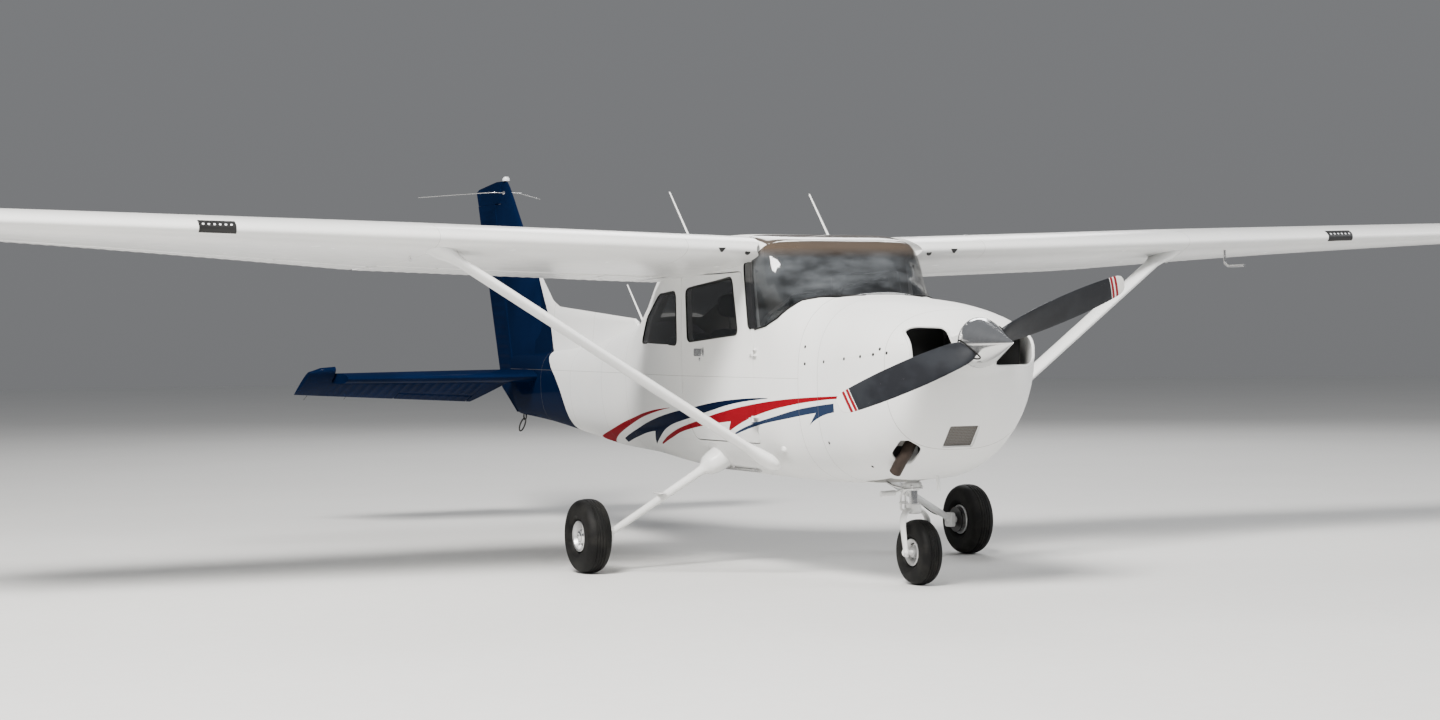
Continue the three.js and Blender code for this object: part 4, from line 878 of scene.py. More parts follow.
def hull_piece(node, material, body="airframe", inside=None, inlets=False):
    """A frame node with its flat facets eased on to the smooth hull. Its mesh is copied, merged and
    split until no edge is long. Each point then moves out from the centre line by the difference
    between the smooth and the faceted reach, less towards the middle and not at all on a hinge's
    knuckle, which stays round its pin. Its normals are the hull's."""
    mesh = frame["nodes"][node].data.copy()
    mesh.materials.clear()
    shape = bmesh.new()
    shape.from_mesh(mesh)
    bmesh.ops.remove_doubles(shape, verts=shape.verts, dist=1e-5)
    if inlets:
        shape.to_mesh(mesh)
        shape.free()
        mesh = less_inlets(mesh)
        shape = bmesh.new()
        shape.from_mesh(mesh)
        bmesh.ops.triangulate(shape, faces=shape.faces)
    for limit in SPLIT_LENGTHS:
        edges = [edge for edge in shape.edges if edge.calc_length() > limit]
        if edges:
            bmesh.ops.subdivide_edges(shape, edges=edges, cuts=1)
            bmesh.ops.triangulate(shape, faces=shape.faces)
    shape.to_mesh(mesh)
    shape.free()
    points = from_scene(corners_of(mesh))
    reach, length, widest = hull_reach(*points.T)
    frame_reach = facet_reach(*points.T, widest)
    share = np.clip((length / np.maximum(frame_reach, 1) - EASING["start"]) / EASING["over"], 0, 1)
    move = (reach - frame_reach) * share / np.maximum(length, 1)
    for side, station in HINGE_LINES:
        knuckle = np.hypot(np.abs(points[:, 0]) - side, points[:, 1] - station) < KNUCKLE
        move = np.where(knuckle, 0, move)
    points[:, 0] += points[:, 0] * move
    points[:, 2] += (points[:, 2] - widest) * move
    move_corners(mesh, to_scene(points))
    count = len(mesh.polygons)
    flat = np.empty(count * 3)
    mesh.polygons.foreach_get("normal", flat)
    faces = np.repeat(flat.reshape(-1, 3), 3, axis=0)
    corners = np.empty(len(mesh.loops), int)
    mesh.loops.foreach_get("vertex_index", corners)
    normal = hull_normal(points)[corners]
    facing = np.einsum("ij,ij->i", normal, faces)[:, None]
    chosen = np.where(facing > SAME_WAY, normal, np.where(facing < -SAME_WAY, -normal, faces))
    mesh.polygons.foreach_set("use_smooth", np.ones(count, bool))
    mesh.normals_split_custom_set(chosen.tolist())
    mesh.materials.append(material)
    if inside:
        mesh.materials.append(inside)
        mesh.polygons.foreach_set("material_index", (facing[::3, 0] < -0.5).astype(np.int32))
    return finished(linked(node + "_skin", mesh), material, body, node)


for node in ["forward_fuselage", "cabin_roof", "rear_side_left", "rear_side_right"]:
    hull_piece(node, HULL, inside=LINING)
hull_piece("cabin_floor", HULL, inside=CARPET)
hull_piece("tail_cone", HULL)
for node in ["cowl_upper", "cowl_lower"]:
    hull_piece(node, HULL, inlets=True)
for word in SIDES:
    hull_piece("cabin_door_" + word, HULL, "door_" + word, LINING)
    hull_piece("door_window_" + word, GLASS, "door_" + word)
    hull_piece("quarter_window_" + word, GLASS)
hull_piece("baggage_door", HULL, "baggage_hatch", LINING)
hull_piece("windshield", SHIELD)
hull_piece("rear_window", GLASS)


# Wings
# side, leading edge station, leading edge height, chord, incidence in degrees, thickness share
WING_SECTIONS = np.array([
    [500, 673, 1944, 1626, 5.8, 0.12],
    [2540, 673, 2006, 1626, 5.2, 0.12],
    [5283, 800, 2089, 1118, 2.2, 0.12],
])
TIP = {"start": 5283, "end": 5461, "edge": 905, "chord": 840, "height": 2093}
FLAP = {"span": (664, 2536), "start": 0.715, "notches": (1050, 2150), "notch": 100}
AILERON = {"span": (2562, 5207), "start": 0.79, "notches": (3150, 4750), "notch": 14}
END_SEAM = 14
DOOR_SEAM = 6
CAMBER = 0.02
EDGE_SPREAD = 0.0008  # added to the half thickness along the chord, so that the rear edge is no blade
BEAD = {"pitch": 76, "height": 3.4, "margin": 30}
NOTCH = {"half": 5.5, "marks": (-5.6, -5.4, 5.4, 5.6)}
ROOT = {"rows": (500, 540, 580), "least": 520, "step": 20}
ROOT_NOSE = {"until": 775, "length": 108, "in": 66}


def wing_row(side):
    """Leading edge station, height, chord, incidence in radians and thickness share at sides from the
    centre. Past the tip's start a quarter ellipse, 1 - root(1 - t^2), carries each value to its end."""
    side = np.asarray(side, float)
    edge, height, chord, lean, thick = (np.interp(side, WING_SECTIONS[:, 0], column)
                                        for column in WING_SECTIONS.T[1:])
    t = np.clip((side - TIP["start"]) / (TIP["end"] - TIP["start"]), 0, 1)
    fall = 1 - np.sqrt(1 - t**2)
    edge = edge + (TIP["edge"] - edge) * fall
    chord = chord + (TIP["chord"] - chord) * fall
    height = height + (TIP["height"] - height) * t
    return edge, height, chord, np.radians(lean), thick * (1 - fall) + 0.012 * fall


def airfoil(x, thick, camber=CAMBER):
    """Heights of the camber line and half thickness of the common airfoil with four digits, as shares
    of the chord: two parabolas that meet at its front share, and a root with a polynomial."""
    bulk = 5 * thick * (0.2969 * np.sqrt(x) - 0.126 * x - 0.3516 * x**2 + 0.2843 * x**3 - 0.1015 * x**4)
    front = 0.4
    line = np.where(
        x < front,
        camber / front**2 * (2 * front * x - x**2),
        camber / (1 - front) ** 2 * (1 - 2 * front + 2 * front * x - x**2),
    )
    return line, bulk


def on_wing(side, along, up):
    """Points at sides, a distance along the chord and a height square to it."""
    edge, height, _, lean, _ = wing_row(side)
    station = edge + along * np.cos(lean) + up * np.sin(lean)
    return np.stack([side + 0 * station, station, height - along * np.sin(lean) + up * np.cos(lean)], -1)


def wing_rings(sides, ends):
    """Rings from the rear end over the nose and back below, each cut at an end share of the chord."""
    side, end = np.asarray(sides, float)[:, None], np.asarray(ends, float)[:, None]
    x = crowded(33) * end
    _, _, chord, _, thick = wing_row(side)
    line, bulk = airfoil(x, thick)
    bulk = bulk + EDGE_SPREAD * x
    upper = on_wing(side, x * chord, (line + bulk) * chord)[:, ::-1]
    lower = on_wing(side, x * chord, (line - bulk) * chord)[:, 1:]
    return np.concatenate([upper, lower], 1)


def control_nose(surface, side):
    """The nose centre and radius of a flap or aileron, on the straight line between its two ends."""
    ends = np.array(surface["span"], float)
    _, _, chord, _, thick = wing_row(ends)
    line, bulk = airfoil(np.full(2, surface["start"]), thick)
    centre = on_wing(ends, surface["start"] * chord, line * chord)
    share = (np.asarray(side, float) - ends[0]) / (ends[1] - ends[0])
    radius = bulk * chord
    middle = centre[0] + share[..., None] * (centre[1] - centre[0])
    return middle, radius[0] + share * (radius[1] - radius[0])


def cove_share(surface, side):
    """The share of the chord where the wing ends ahead of a flap or aileron."""
    centre, radius = control_nose(surface, side)
    edge, _, chord, _, _ = wing_row(side)
    return (centre[..., 1] - radius - DOOR_SEAM - edge) / chord


def wing():
    """The left wing: full sections at the root and tip, and cut at the coves between them. The root
    ring lies on the hull, or over the roof where the wing stands higher, and its nose is rounded in
    plan by a quarter ellipse."""
    (flap0, flap1), (ail0, ail1) = FLAP["span"], AILERON["span"]
    inner, middle, outer = flap0 - END_SEAM, (flap1 + ail0) / 2, ail1 + END_SEAM
    rows = [(side, 1.0) for side in (*ROOT["rows"], inner)]
    for surface, start, end, count in [(FLAP, inner, middle, 12), (AILERON, middle, outer, 14)]:
        stretch = np.linspace(start, end, count)
        rows += [(side, float(cove_share(surface, np.array(side)))) for side in stretch]
    tip = TIP["start"] + (TIP["end"] - TIP["start"]) * np.sin(np.linspace(0, np.pi / 2, 12))
    rows += [(side, 1.0) for side in (outer, max(WING_LAPS), *tip)]
    sides, ends = np.array(rows).T
    rings = wing_rings(sides, ends)
    near_nose = np.clip((ROOT_NOSE["until"] - rings[0, :, 1]) / ROOT_NOSE["length"], 0, 1)
    rounding = ROOT_NOSE["in"] * (1 - np.sqrt(1 - near_nose**2))
    for row, ring in enumerate(rings[:3]):
        across = side_of_hull(ring[:, 1], ring[:, 2]) + 1
        across = np.maximum(across, ROOT["least"] + row * ROOT["step"] + rounding)
        ring[:, 0] = np.minimum(np.maximum(across, ring[:, 0]), inner - 1)
    return skin(rings)


SHIELD_TOP = {"front": 684, "rear": 985, "half": 488, "out": 2.2, "thick": 8, "lap": 20}


def shield_top():
    """The windshield's top over the front of the roof: the hull's upper section between two sides,
    z = widest + rise (1 - |x / half width| ^ power) ^ (1 / power), a little proud of the skin."""
    station = np.linspace(SHIELD_TOP["front"], SHIELD_TOP["rear"], 24)[:, None]
    wide, _, widest, top, _, power = section(station)
    x = np.linspace(-1, 1, 41)[None, :] * SHIELD_TOP["half"]
    z = widest + (top - widest) * (1 - (np.abs(x) / wide) ** power) ** (1 / power)
    edge = np.minimum(station - SHIELD_TOP["front"], SHIELD_TOP["rear"] - station)
    out = SHIELD_TOP["out"] * np.clip(edge / SHIELD_TOP["lap"], 0.1, 1)
    over = np.stack([x + 0 * z, station + 0 * z, z + out], -1)
    under = over[:, ::-1] - [0, 0, SHIELD_TOP["thick"]]
    return skin(np.concatenate([over, under], 1))


def beads(side, start, end):
    """Ridges pressed into a skin from nose to rear edge: a raised cosine each pitch, fading at the ends."""
    wave = 0.5 - 0.5 * np.cos(2 * np.pi * (side - start) / BEAD["pitch"])
    return BEAD["height"] * wave**2 * (side > start) * (side < end)


def control_surface(surface):
    """A flap or aileron: the rear of the wing's section behind a half-round nose. Its skins are beaded
    from just behind its nose to its rear edge, and it is notched at the wing's rails or lugs."""
    first, last = surface["span"]
    count = int((last - first) / BEAD["pitch"] * 6)
    marks = [at + gap for at in surface["notches"] for gap in NOTCH["marks"]]
    side = np.unique(np.concatenate([np.linspace(first, last, count), marks]))[:, None]
    _, _, chord, _, thick = wing_row(side)
    centre, radius = control_nose(surface, side[:, 0])
    start = surface["start"]
    share = np.linspace(0, 1, 18) ** 1.3
    x = start + (1 - start) * share
    line, bulk = airfoil(x, thick)
    ridge = beads(side, first + BEAD["margin"], last - BEAD["margin"])
    ridge = ridge * np.interp(share, [0.08, 0.14, 0.9, 1], [0, 1, 1, 0.6])
    bulk = bulk + EDGE_SPREAD * x
    upper = on_wing(side, x * chord, (line + bulk) * chord + ridge)[:, ::-1]
    lower = on_wing(side, x * chord, (line - bulk) * chord - ridge)
    angle = half_turn(13)
    ahead = centre[:, None] - radius[:, None, None] * (
        np.sin(angle)[:, None] * [0, 1, 0] - np.cos(angle)[:, None] * [0, 0, 1])
    rings = np.concatenate([upper, ahead, lower], 1)
    for at in surface["notches"]:
        inside = np.abs(side[:, 0] - at) < NOTCH["half"]
        limit = centre[:, 1] + surface["notch"]
        moved = np.maximum(rings[..., 1], limit[:, None])
        rings[inside, :, 1] = moved[inside]
        near = inside[:, None] & (rings[..., 1] <= limit[:, None] + 0.1)
        rings[near, 2] = (rings[..., 2] * 0.6 + centre[:, None, 2] * 0.4)[near]
    return skin(rings)


FLAP_PIVOT = {"aft": 30, "down": 130}
RAIL = {"half": 11, "thick": 10, "start": -50, "end": 26}


def flap_rail(side):
    """A curved rail: the arc of a flat bar round the flap's turning line, square to that line."""
    inner, outer, nose = (control_nose(FLAP, np.array(float(at)))[0] for at in (*FLAP["span"], side))
    line = unit(outer - inner)
    aft = unit(np.cross(line, [0, 0, -1]))
    up = np.cross(line, aft)
    pivot = nose + [0, FLAP_PIVOT["aft"], -FLAP_PIVOT["down"]]
    reach = math.hypot(*FLAP_PIVOT.values())
    angle = np.radians(np.linspace(RAIL["start"], RAIL["end"], 30))[:, None]
    path = pivot + reach * (np.sin(angle) * aft + np.cos(angle) * up)
    return tube(path, RAIL["thick"] / 2, RAIL["half"], 12, line)


def lug(centre, radius, reach, thick=9):
    """A hinge lug: a flat bar with a round eye, from the hinge line forward to its seat."""
    x, y, z = centre
    turn = np.radians(np.linspace(-90, 90, 13))
    eye = np.stack([y + radius * np.cos(turn), z + radius * np.sin(turn)], 1)
    outline = np.concatenate([eye, [[y - reach, z + radius * 0.8], [y - reach, z - radius * 0.8]]])
    return slab(outline, x - thick / 2, x + thick / 2, SIDE_VIEW, 1.0)


pair("wing_skin", wing(), WING, replaces="wing")
piece("windshield_top", shield_top(), TOP_GLASS)
pair("flap_skin", control_surface(FLAP), WING, "flap", "flap")
pair("aileron_skin", control_surface(AILERON), WING, "aileron", "aileron")
pair("flap_rails", [flap_rail(side) for side in FLAP["notches"]], STEEL)
hinge_points = [control_nose(AILERON, np.array(float(side))) for side in AILERON["notches"]]
pair("aileron_lugs", [lug(point, 12, radius + 25) for point, radius in hinge_points], PAINT)

# Struts with a fairing at each end
STRUT = {"low": (525, 500, 655), "high": (2525, 875, 1972), "clear": 620}
# share of the length, half width, half height
STRUT_STOPS = [(0, 52, 18), (0.012, 84, 34), (0.03, 94, 44), (0.055, 88, 40), (0.1, 70, 28),
               (0.915, 70, 28), (0.94, 88, 36), (0.965, 118, 52), (1, 130, 60)]


def outside_hull(points, near):
    """Points with those that are near the hull moved out on to its side."""
    inside = side_of_hull(points[:, 1], points[:, 2])
    points[:, 0] = np.where(near, np.maximum(points[:, 0], inside + 0.5), points[:, 0])
    return points


def strut():
    """The wing strut: an ellipse along its length, cut by the hull."""
    points, faces = rod(STRUT["low"], STRUT["high"], STRUT_STOPS, 60, 40)
    near_hull = points[:, 0] < STRUT["clear"]
    return outside_hull(points, near_hull), faces


pair("wing_strut_skin", strut(), PAINT, replaces="wing_strut")


# Wing fittings
def wing_skin_point(side, share, upper):
    """A point of the wing's upper or lower skin."""
    side, share = np.array(float(side)), np.array(float(share))
    _, _, chord, _, thick = wing_row(side)
    line, bulk = airfoil(share, thick)
    return on_wing(side, share * chord, (line + (bulk if upper else -bulk)) * chord)


def wing_patch(sides, shares, upper, rise, rows=10, columns=10):
    """A thin plate that follows the wing's skin between two sides and two shares of the chord.
    A share below 0 lies on the lower skin, so a patch may wrap round the leading edge."""
    side = np.linspace(*sides, rows)[:, None]
    share = np.linspace(*shares, columns)[None, :]
    _, _, chord, _, thick = wing_row(side)
    line, bulk = airfoil(np.abs(share), thick)
    way = np.where(share < 0, -1, 1) * (1 if upper else -1)
    height = (line + way * bulk) * chord
    outer = on_wing(side, np.abs(share) * chord - rise * (np.abs(share) < 0.02), height + way * rise)
    inner = on_wing(side, np.abs(share) * chord + 4, height - way * 2)
    ring = np.concatenate([outer, inner[:, ::-1]], 1)
    return skin(ring)


LAMP_PATCH = {"sides": (3690, 3895), "shares": (-0.012, 0.03), "margin": 25}
# Profiles of (radius, offset) of round fittings
LENS = [(0, -6), (9, -5), (10, 0), (7, 3), (0, 4)]
FUEL_CAP = [(0, -4), (46, -4), (46, 1.5), (43, 3), (0, 4)]
ROOT_VENT = [(0, -14), (16, -14), (18, -1), (16, 1.5), (0, 0.5)]
PITOT = [(0, 20, 0), (0, 18, -90), (0, -20, -110), (0, -190, -110)]  # from its foot on the wing
SCOOP = [(-27, 13), (27, 13), (0, -17)]

pair("lamp_panel", wing_patch(LAMP_PATCH["sides"], LAMP_PATCH["shares"], True, 2.0, 12, 24), INK)
lamp_start, lamp_end = LAMP_PATCH["sides"]
lamp_sides = np.linspace(lamp_start + LAMP_PATCH["margin"], lamp_end - LAMP_PATCH["margin"], 6)
lamp_spots = [wing_skin_point(side, 0.006, True) for side in lamp_sides]
pair("wing_lamps", [turned(LENS, spot, (0, -0.8, 0.6), 16) for spot in lamp_spots], CLEAR_LENS)
for word, lens in [("left", RED_LENS), ("right", GREEN_LENS)]:
    spot = on_wing(np.array(5435.0), 120, 0) * [SIDES[word], 1, 1]
    piece("tip_lamp_" + word, pillow(spot - [22, 45, 14], spot + [22, 45, 14], 2.4, 14, 20), lens)
pair("fuel_cap", turned(FUEL_CAP, wing_skin_point(1150, 0.28, True), (0.02, 0.05, 1), 40), STEEL)
tie_turn = full_turn(24)
eye = np.stack([0 * tie_turn, np.cos(tie_turn), np.sin(tie_turn)], 1)
eye = wing_skin_point(2600, 0.22, False) - [0, 0, 18] + 14 * eye
pair("wing_tie_ring", closed_loop(eye, 3, 8), STEEL)
piece("pitot_tube", bar(wing_skin_point(2900, 0.06, False) + PITOT, 40, 8, 8, 12, ACROSS), STEEL)
pair("root_vent", turned(ROOT_VENT, wing_skin_point(618, 0.008, False), (0, -1, -0.45), 24), INK)
x, y, z = wing_skin_point(790, 0.003, False) + [0, -1, 0]
pair("root_scoop", slab(rounded(SCOOP, 7, 5) + [x, z], y - 3, y + 12, FRONT_VIEW, 1.5), INK)


# Tail
TAIL_HEIGHT = 1130
HINGE_STATION = 5956
# side, leading edge station, chord, thickness share
TAIL_ROWS = np.array([
    [0, 5283, 1247, 0.082], [1530, 5530, 778, 0.1], [1650, 5562, 728, 0.095], [1730, 5645, 633, 0.055],
])
NOSE_RADIUS = 26
TAIL_GAP = 7
DROOP = math.radians(-23)
HORN_REACH = 190
HORN_THICKER = 1.7
TAB = {"outer": (-900, 6260), "inner": (-280, 6350), "nose": 14}
ELEVATOR_BEADS = (270.0, 1500.0)
NOTCH_EDGE = {"sides": [88, 236, 260], "stations": [5990, 6496, 6560]}
BEADED = (0.12, 0.93)  # shares of a tail surface's depth between which its skins are raised


def tail_row(side):
    """Leading edge station, chord and thickness share of the tailplane at sides."""
    return [np.interp(np.abs(side), TAIL_ROWS[:, 0], column) for column in TAIL_ROWS.T[1:]]


def skins_round(side, station, rise):
    """The upper skin from rear to front and the lower one from front to rear, at a rise each way from
    the tailplane's middle."""
    wide = side + 0 * station
    upper, lower = (np.stack([wide, station, TAIL_HEIGHT + way * rise], -1) for way in (1, -1))
    return upper[:, ::-1], lower


def stabilizer():
    """The fixed tailplane: a symmetric airfoil from its nose to its rear face, over both sides."""
    side = np.linspace(-1530, 1530, 41)[:, None]
    edge, chord, thick = tail_row(side)
    end = (HINGE_STATION - NOSE_RADIUS - TAIL_GAP - edge) / chord
    x = crowded(29) * end
    _, bulk = airfoil(x, thick, 0)
    upper, lower = skins_round(side, edge + x * chord, bulk * chord)
    return skin(np.concatenate([upper, lower[:, 1:]], 1))


def drooped(surface):
    """Turned about the elevator's hinge as the elevator hangs: a turn in the plane of its section."""
    points, faces = surface
    y, z = points[:, 1] - HINGE_STATION, points[:, 2] - TAIL_HEIGHT
    cos, sin = math.cos(DROOP), math.sin(DROOP)
    moved = np.stack([points[:, 0], HINGE_STATION + y * cos - z * sin, TAIL_HEIGHT + y * sin + z * cos], 1)
    return moved, faces


def blade_rings(side, front, rear, nose, ridge):
    """Rings of a tail surface between a front and a rear station, on the tailplane's section: its nose
    is half round and its skins are raised by the ridge."""
    edge, chord, thick = tail_row(side)
    share = np.linspace(0, 1, 16)
    station = front + (rear - front) * share
    x = np.clip((station - edge) / chord, 0, 1)
    _, bulk = airfoil(x, thick, 0)
    rise = np.maximum(bulk * chord, 1.0) + ridge * ((share > BEADED[0]) & (share < BEADED[1]))
    rise = np.minimum(rise, nose + (station - front) * 2)
    upper, lower = skins_round(side, station, rise)
    angle, radius = half_turn(11), rise[:, :1]
    drop, back = radius * np.cos(angle), radius * np.sin(angle)
    ahead = np.stack([side + 0 * drop, front - back, TAIL_HEIGHT + drop], -1)
    return np.concatenate([upper, ahead, lower], 1)


def elevator_half(sign):
    """Half of the elevator: from the notch beside the rudder, where its inner edge slants, to the horn,
    less the trim tab's place on the right, with beads from front to rear."""
    outline = [[88, 90], np.linspace(100, 1544, 116)]
    if sign < 0:
        x0, x1 = abs(TAB["inner"][0]) - 8, abs(TAB["outer"][0]) + 8
        outline.append([x0 - 0.1, x0, x1, x1 + 0.1])
    side = np.unique(np.concatenate(outline))[:, None] * sign
    edge, chord, _ = tail_row(side)
    rear = np.minimum(edge + chord, np.interp(np.abs(side), NOTCH_EDGE["sides"], NOTCH_EDGE["stations"]))
    if sign < 0:
        distance = np.abs(side[:, 0])
        within = (distance >= x0) & (distance <= x1)
        line = np.interp(side[:, 0], *zip(TAB["outer"], TAB["inner"]))
        rear[within, 0] = np.minimum(rear[within, 0], line[within] - TAB["nose"] - DOOR_SEAM)
    ridge = beads(np.abs(side), *ELEVATOR_BEADS)
    return skin(blade_rings(side, np.full_like(side, HINGE_STATION), rear, NOSE_RADIUS, ridge))


def horn(sign):
    """The elevator's balance horn outboard of the stabilizer: its own airfoil from ahead of the hinge
    line to the rear edge, thicker for its chord than the tailplane, its tip rounded."""
    tip = 1650 + 80 * np.sin(np.linspace(0.2, np.pi / 2, 8))
    side = np.concatenate([[1545, 1600, 1650], tip])[:, None] * sign
    edge, chord, thick = tail_row(side)
    front = HINGE_STATION - HORN_REACH + 0.6 * (edge - edge[0])
    x, depth = crowded(29), edge + chord - front
    _, bulk = airfoil(x, thick * HORN_THICKER, 0)
    upper, lower = skins_round(side, front + x * depth, np.maximum(bulk * depth, 0.8))
    return skin(np.concatenate([upper, lower[:, 1:]], 1))


def trim_tab():
    """The tab behind its own slanting hinge line: a round nose and the elevator's rear section."""
    (x0, y0), (x1, y1) = TAB["outer"], TAB["inner"]
    side = np.linspace(x0, x1, 52)[:, None]
    front = np.interp(side, [x0, x1], [y0, y1])
    edge, chord, _ = tail_row(side)
    ridge = beads(side, x0 + 20.0, x1 - 20.0)
    return skin(blade_rings(side, front, edge + chord, TAB["nose"], ridge * 0.8))


hinge_bar = bar([(side, HINGE_STATION, TAIL_HEIGHT) for side in (-95, 95)], 6, 16, 16, 24)
elevator_parts = [elevator_half(1), elevator_half(-1), horn(1), horn(-1), hinge_bar]
piece("stabilizer_skin", stabilizer(), TAIL, replaces="stabilizer")
piece("elevator_skin", [drooped(part) for part in elevator_parts], TAIL, "elevator", "elevator")
piece("trim_tab_skin", drooped(trim_tab()), TAIL, "trim_tab", "trim_tab")
piece("elevator_lugs", [lug((side, HINGE_STATION, TAIL_HEIGHT), 12, 53) for side in (-1050, 1050)], TAIL)

# height, leading edge station, hinge station, trailing edge station, hinge radius
FIN_ROWS = np.array([
    [830, 5080, 5953, 6240, 28], [1150, 5180, 6048, 6390, 28], [1829, 5471, 6249, 6620, 24],
    [2309, 5888, 6391, 6783, 20], [2560, 6100, 6466, 6868, 17], [2652, 6190, 6493, 6900, 12],
])


def fin_row(height):
    return [np.interp(height, FIN_ROWS[:, 0], column) for column in FIN_ROWS.T[1:]]


def fin_rings(height, front, rear, lead, ridge=0.0, count=22):
    """Level rings of the fin or rudder between a front and a rear station. From the leading edge the
    half width rises as the root of a sine to the hinge radius, and runs straight to the rear edge."""
    edge, hinge, tail, radius = fin_row(height)
    share = np.linspace(0, 1, count)
    station = front + (rear - front) * share
    ahead = np.clip((station - edge) / (hinge - edge), 0, 1)
    bulge = radius * (1.25 - 0.25 * ahead) * np.sqrt(np.sin(np.pi / 2 * np.clip(ahead * 2.2, 0, 1)))
    behind = np.clip((station - hinge) / (tail - hinge), 0, 1)
    half = np.where(station < hinge, bulge, radius + (1.5 - radius) * behind)
    half = half + ridge * ((share > BEADED[0]) & (share < BEADED[1]))
    half = np.maximum(np.minimum(half, lead + (station - front) * 1.2), 0.6)
    level = height + 0 * station
    left = np.stack([half, station, level], -1)[:, ::-1]
    right = np.stack([-half, station, level], -1)
    return np.concatenate([left, right], 1)


def fin():
    """The fin from the hull to its top, and the tip's step ahead of the rudder's horn."""
    height = np.concatenate([np.linspace(1240, 2473, 30), [2474, 2600, 2645, 2652]])[:, None]
    edge, hinge, _, radius = fin_row(height)
    rear = np.where(height < 2473.5, hinge - radius - TAIL_GAP, 6280)
    front = edge + np.where(height > 2640, (height - 2640) * 3, 0)
    return skin(fin_rings(height, front, rear, 0.8))


DORSAL = {"stations": [3640, 3700, 5130, 5260, 5500, 5600], "ridge": [1462, 1548, 1652, 1700, 1900, 1990]}
RUDDER_FOOT = {"heights": [838, 1030, 1155], "rear": [5950, 6350, 6391]}
RUDDER_TOP = {"heights": [2480, 2590, 2612, 2652], "rear": [6834, 6878, 6812, 6400], "front": 6291.0}
RUDDER_BEADS = (1180.0, 2440.0)


def dorsal():
    """The fillet ahead of the fin: a ridge line rising from the cone to the fin, with sides that
    spread down to the hull as half width = 13 + 26 (depth / height) ^ 2.5, and a round top."""
    station = np.linspace(3660, 5560, 60)[:, None]
    ridge = np.interp(station, DORSAL["stations"], DORSAL["ridge"])
    _, _, _, top, _, _ = section(station)
    depth = np.linspace(0, 1, 12)[None, :]
    tall = ridge - (top - 22)
    round_off = np.sqrt(np.clip(depth * 6, 0, 1))
    half = (13 + 26 * depth**2.5) * round_off + 0.4
    z = ridge - tall * depth
    wide = station + 0 * z
    left = np.stack([half + 0 * z, wide, z], -1)
    right = np.stack([-half + 0 * z, wide, z], -1)[:, ::-1]
    return skin(np.concatenate([left, right], 1))


def rudder():
    """The rudder: beaded blade behind the hinge with a half-round nose, and its horn over the fin."""
    height = np.linspace(845, 2479, 150)[:, None]
    _, hinge, tail, radius = fin_row(height)
    slant = np.interp(height, RUDDER_FOOT["heights"], RUDDER_FOOT["rear"])
    rear = np.where(height < RUDDER_FOOT["heights"][-1], slant, tail)
    rings = fin_rings(height, hinge, np.maximum(rear, hinge + 4), 40, beads(height, *RUDDER_BEADS) * 0.8)
    across, back = -radius * np.cos(half_turn(11)), radius * np.sin(half_turn(11))
    round_nose = np.stack([across, hinge - back, height + 0 * across], -1)
    blade = skin(np.concatenate([rings, round_nose], 1))
    height = np.concatenate([np.linspace(2480, 2590, 6), [2612, 2635, 2652]])[:, None]
    rear = np.interp(height, RUDDER_TOP["heights"], RUDDER_TOP["rear"])
    top = skin(fin_rings(height, np.full_like(height, RUDDER_TOP["front"]), rear, 6))
    return [blade, top]


piece("fin_skin", fin(), TAIL, replaces="fin")
piece("dorsal_fillet", dorsal(), HULL)
piece("rudder_skin", rudder(), TAIL, "rudder", "rudder")
piece("rudder_lugs", [lug((0, float(fin_row(h)[1]), h), 12, 55) for h in (1400.0, 2200.0)], TAIL)
beacon = turned([(0, 0), (28, 0), (28, 12), (24, 24), (14, 32), (0, 35)], (0, 6222, 2652.5), UP, 32)
piece("beacon_lens", beacon, CLEAR_LENS, replaces="beacon")


# Landing gear
MAIN = {"side": 1335, "station": 1455, "radius": 225, "half": 79, "rim": 78}
NOSE = {"side": 0, "station": -238, "radius": 187, "half": 63, "rim": 62}
GROOVES = (-0.34, -0.12, 0.12, 0.34)  # shares of the half width
GROOVE = {"wide": 0.045, "deep": 5.0}
RIM_HALF = 0.74  # share of the tyre's half width


def middle_of(wheel):
    return np.array([wheel["side"], wheel["station"], wheel["radius"]], float)


def tyre(wheel):
    """A tyre's section, turned about its axle: a flat-crowned oval, half width times sin to a power and
    radius by cos to a power, with square grooves round the tread and a bead at the rim."""
    radius, half, rim = wheel["radius"], wheel["half"], wheel["rim"]
    turn = np.radians(np.linspace(-158, 158, 120))
    middle = (radius + rim + 14) / 2
    tall = radius - middle
    offset = half * lifted(np.sin(turn), 0.80)
    reach = middle + tall * lifted(np.cos(turn), 0.62)
    for share in GROOVES:
        inside = (np.abs(offset / half - share) < GROOVE["wide"]) & (reach > middle)
        reach = np.where(inside, reach - GROOVE["deep"], reach)
    rib = (reach - rim > 0.30 * (radius - rim)) & (reach - rim < 0.36 * (radius - rim))
    offset = offset * np.where(rib, 1.02, 1.0)
    seat = np.array([[rim, offset[-1] * 0.9], [rim, offset[0] * 0.9]])
    profile = np.concatenate([np.stack([reach, offset], 1), seat])
    return turned(profile, middle_of(wheel), ACROSS, 96, loop=True)


def ring_of(count, radius, centre, make):
    """The same small surface at equal angles round an X axis."""
    angles = np.arange(count) * 2 * np.pi / count
    spots = [centre + [0, radius * math.cos(angle), radius * math.sin(angle)] for angle in angles]
    return [make(spot) for spot in spots]


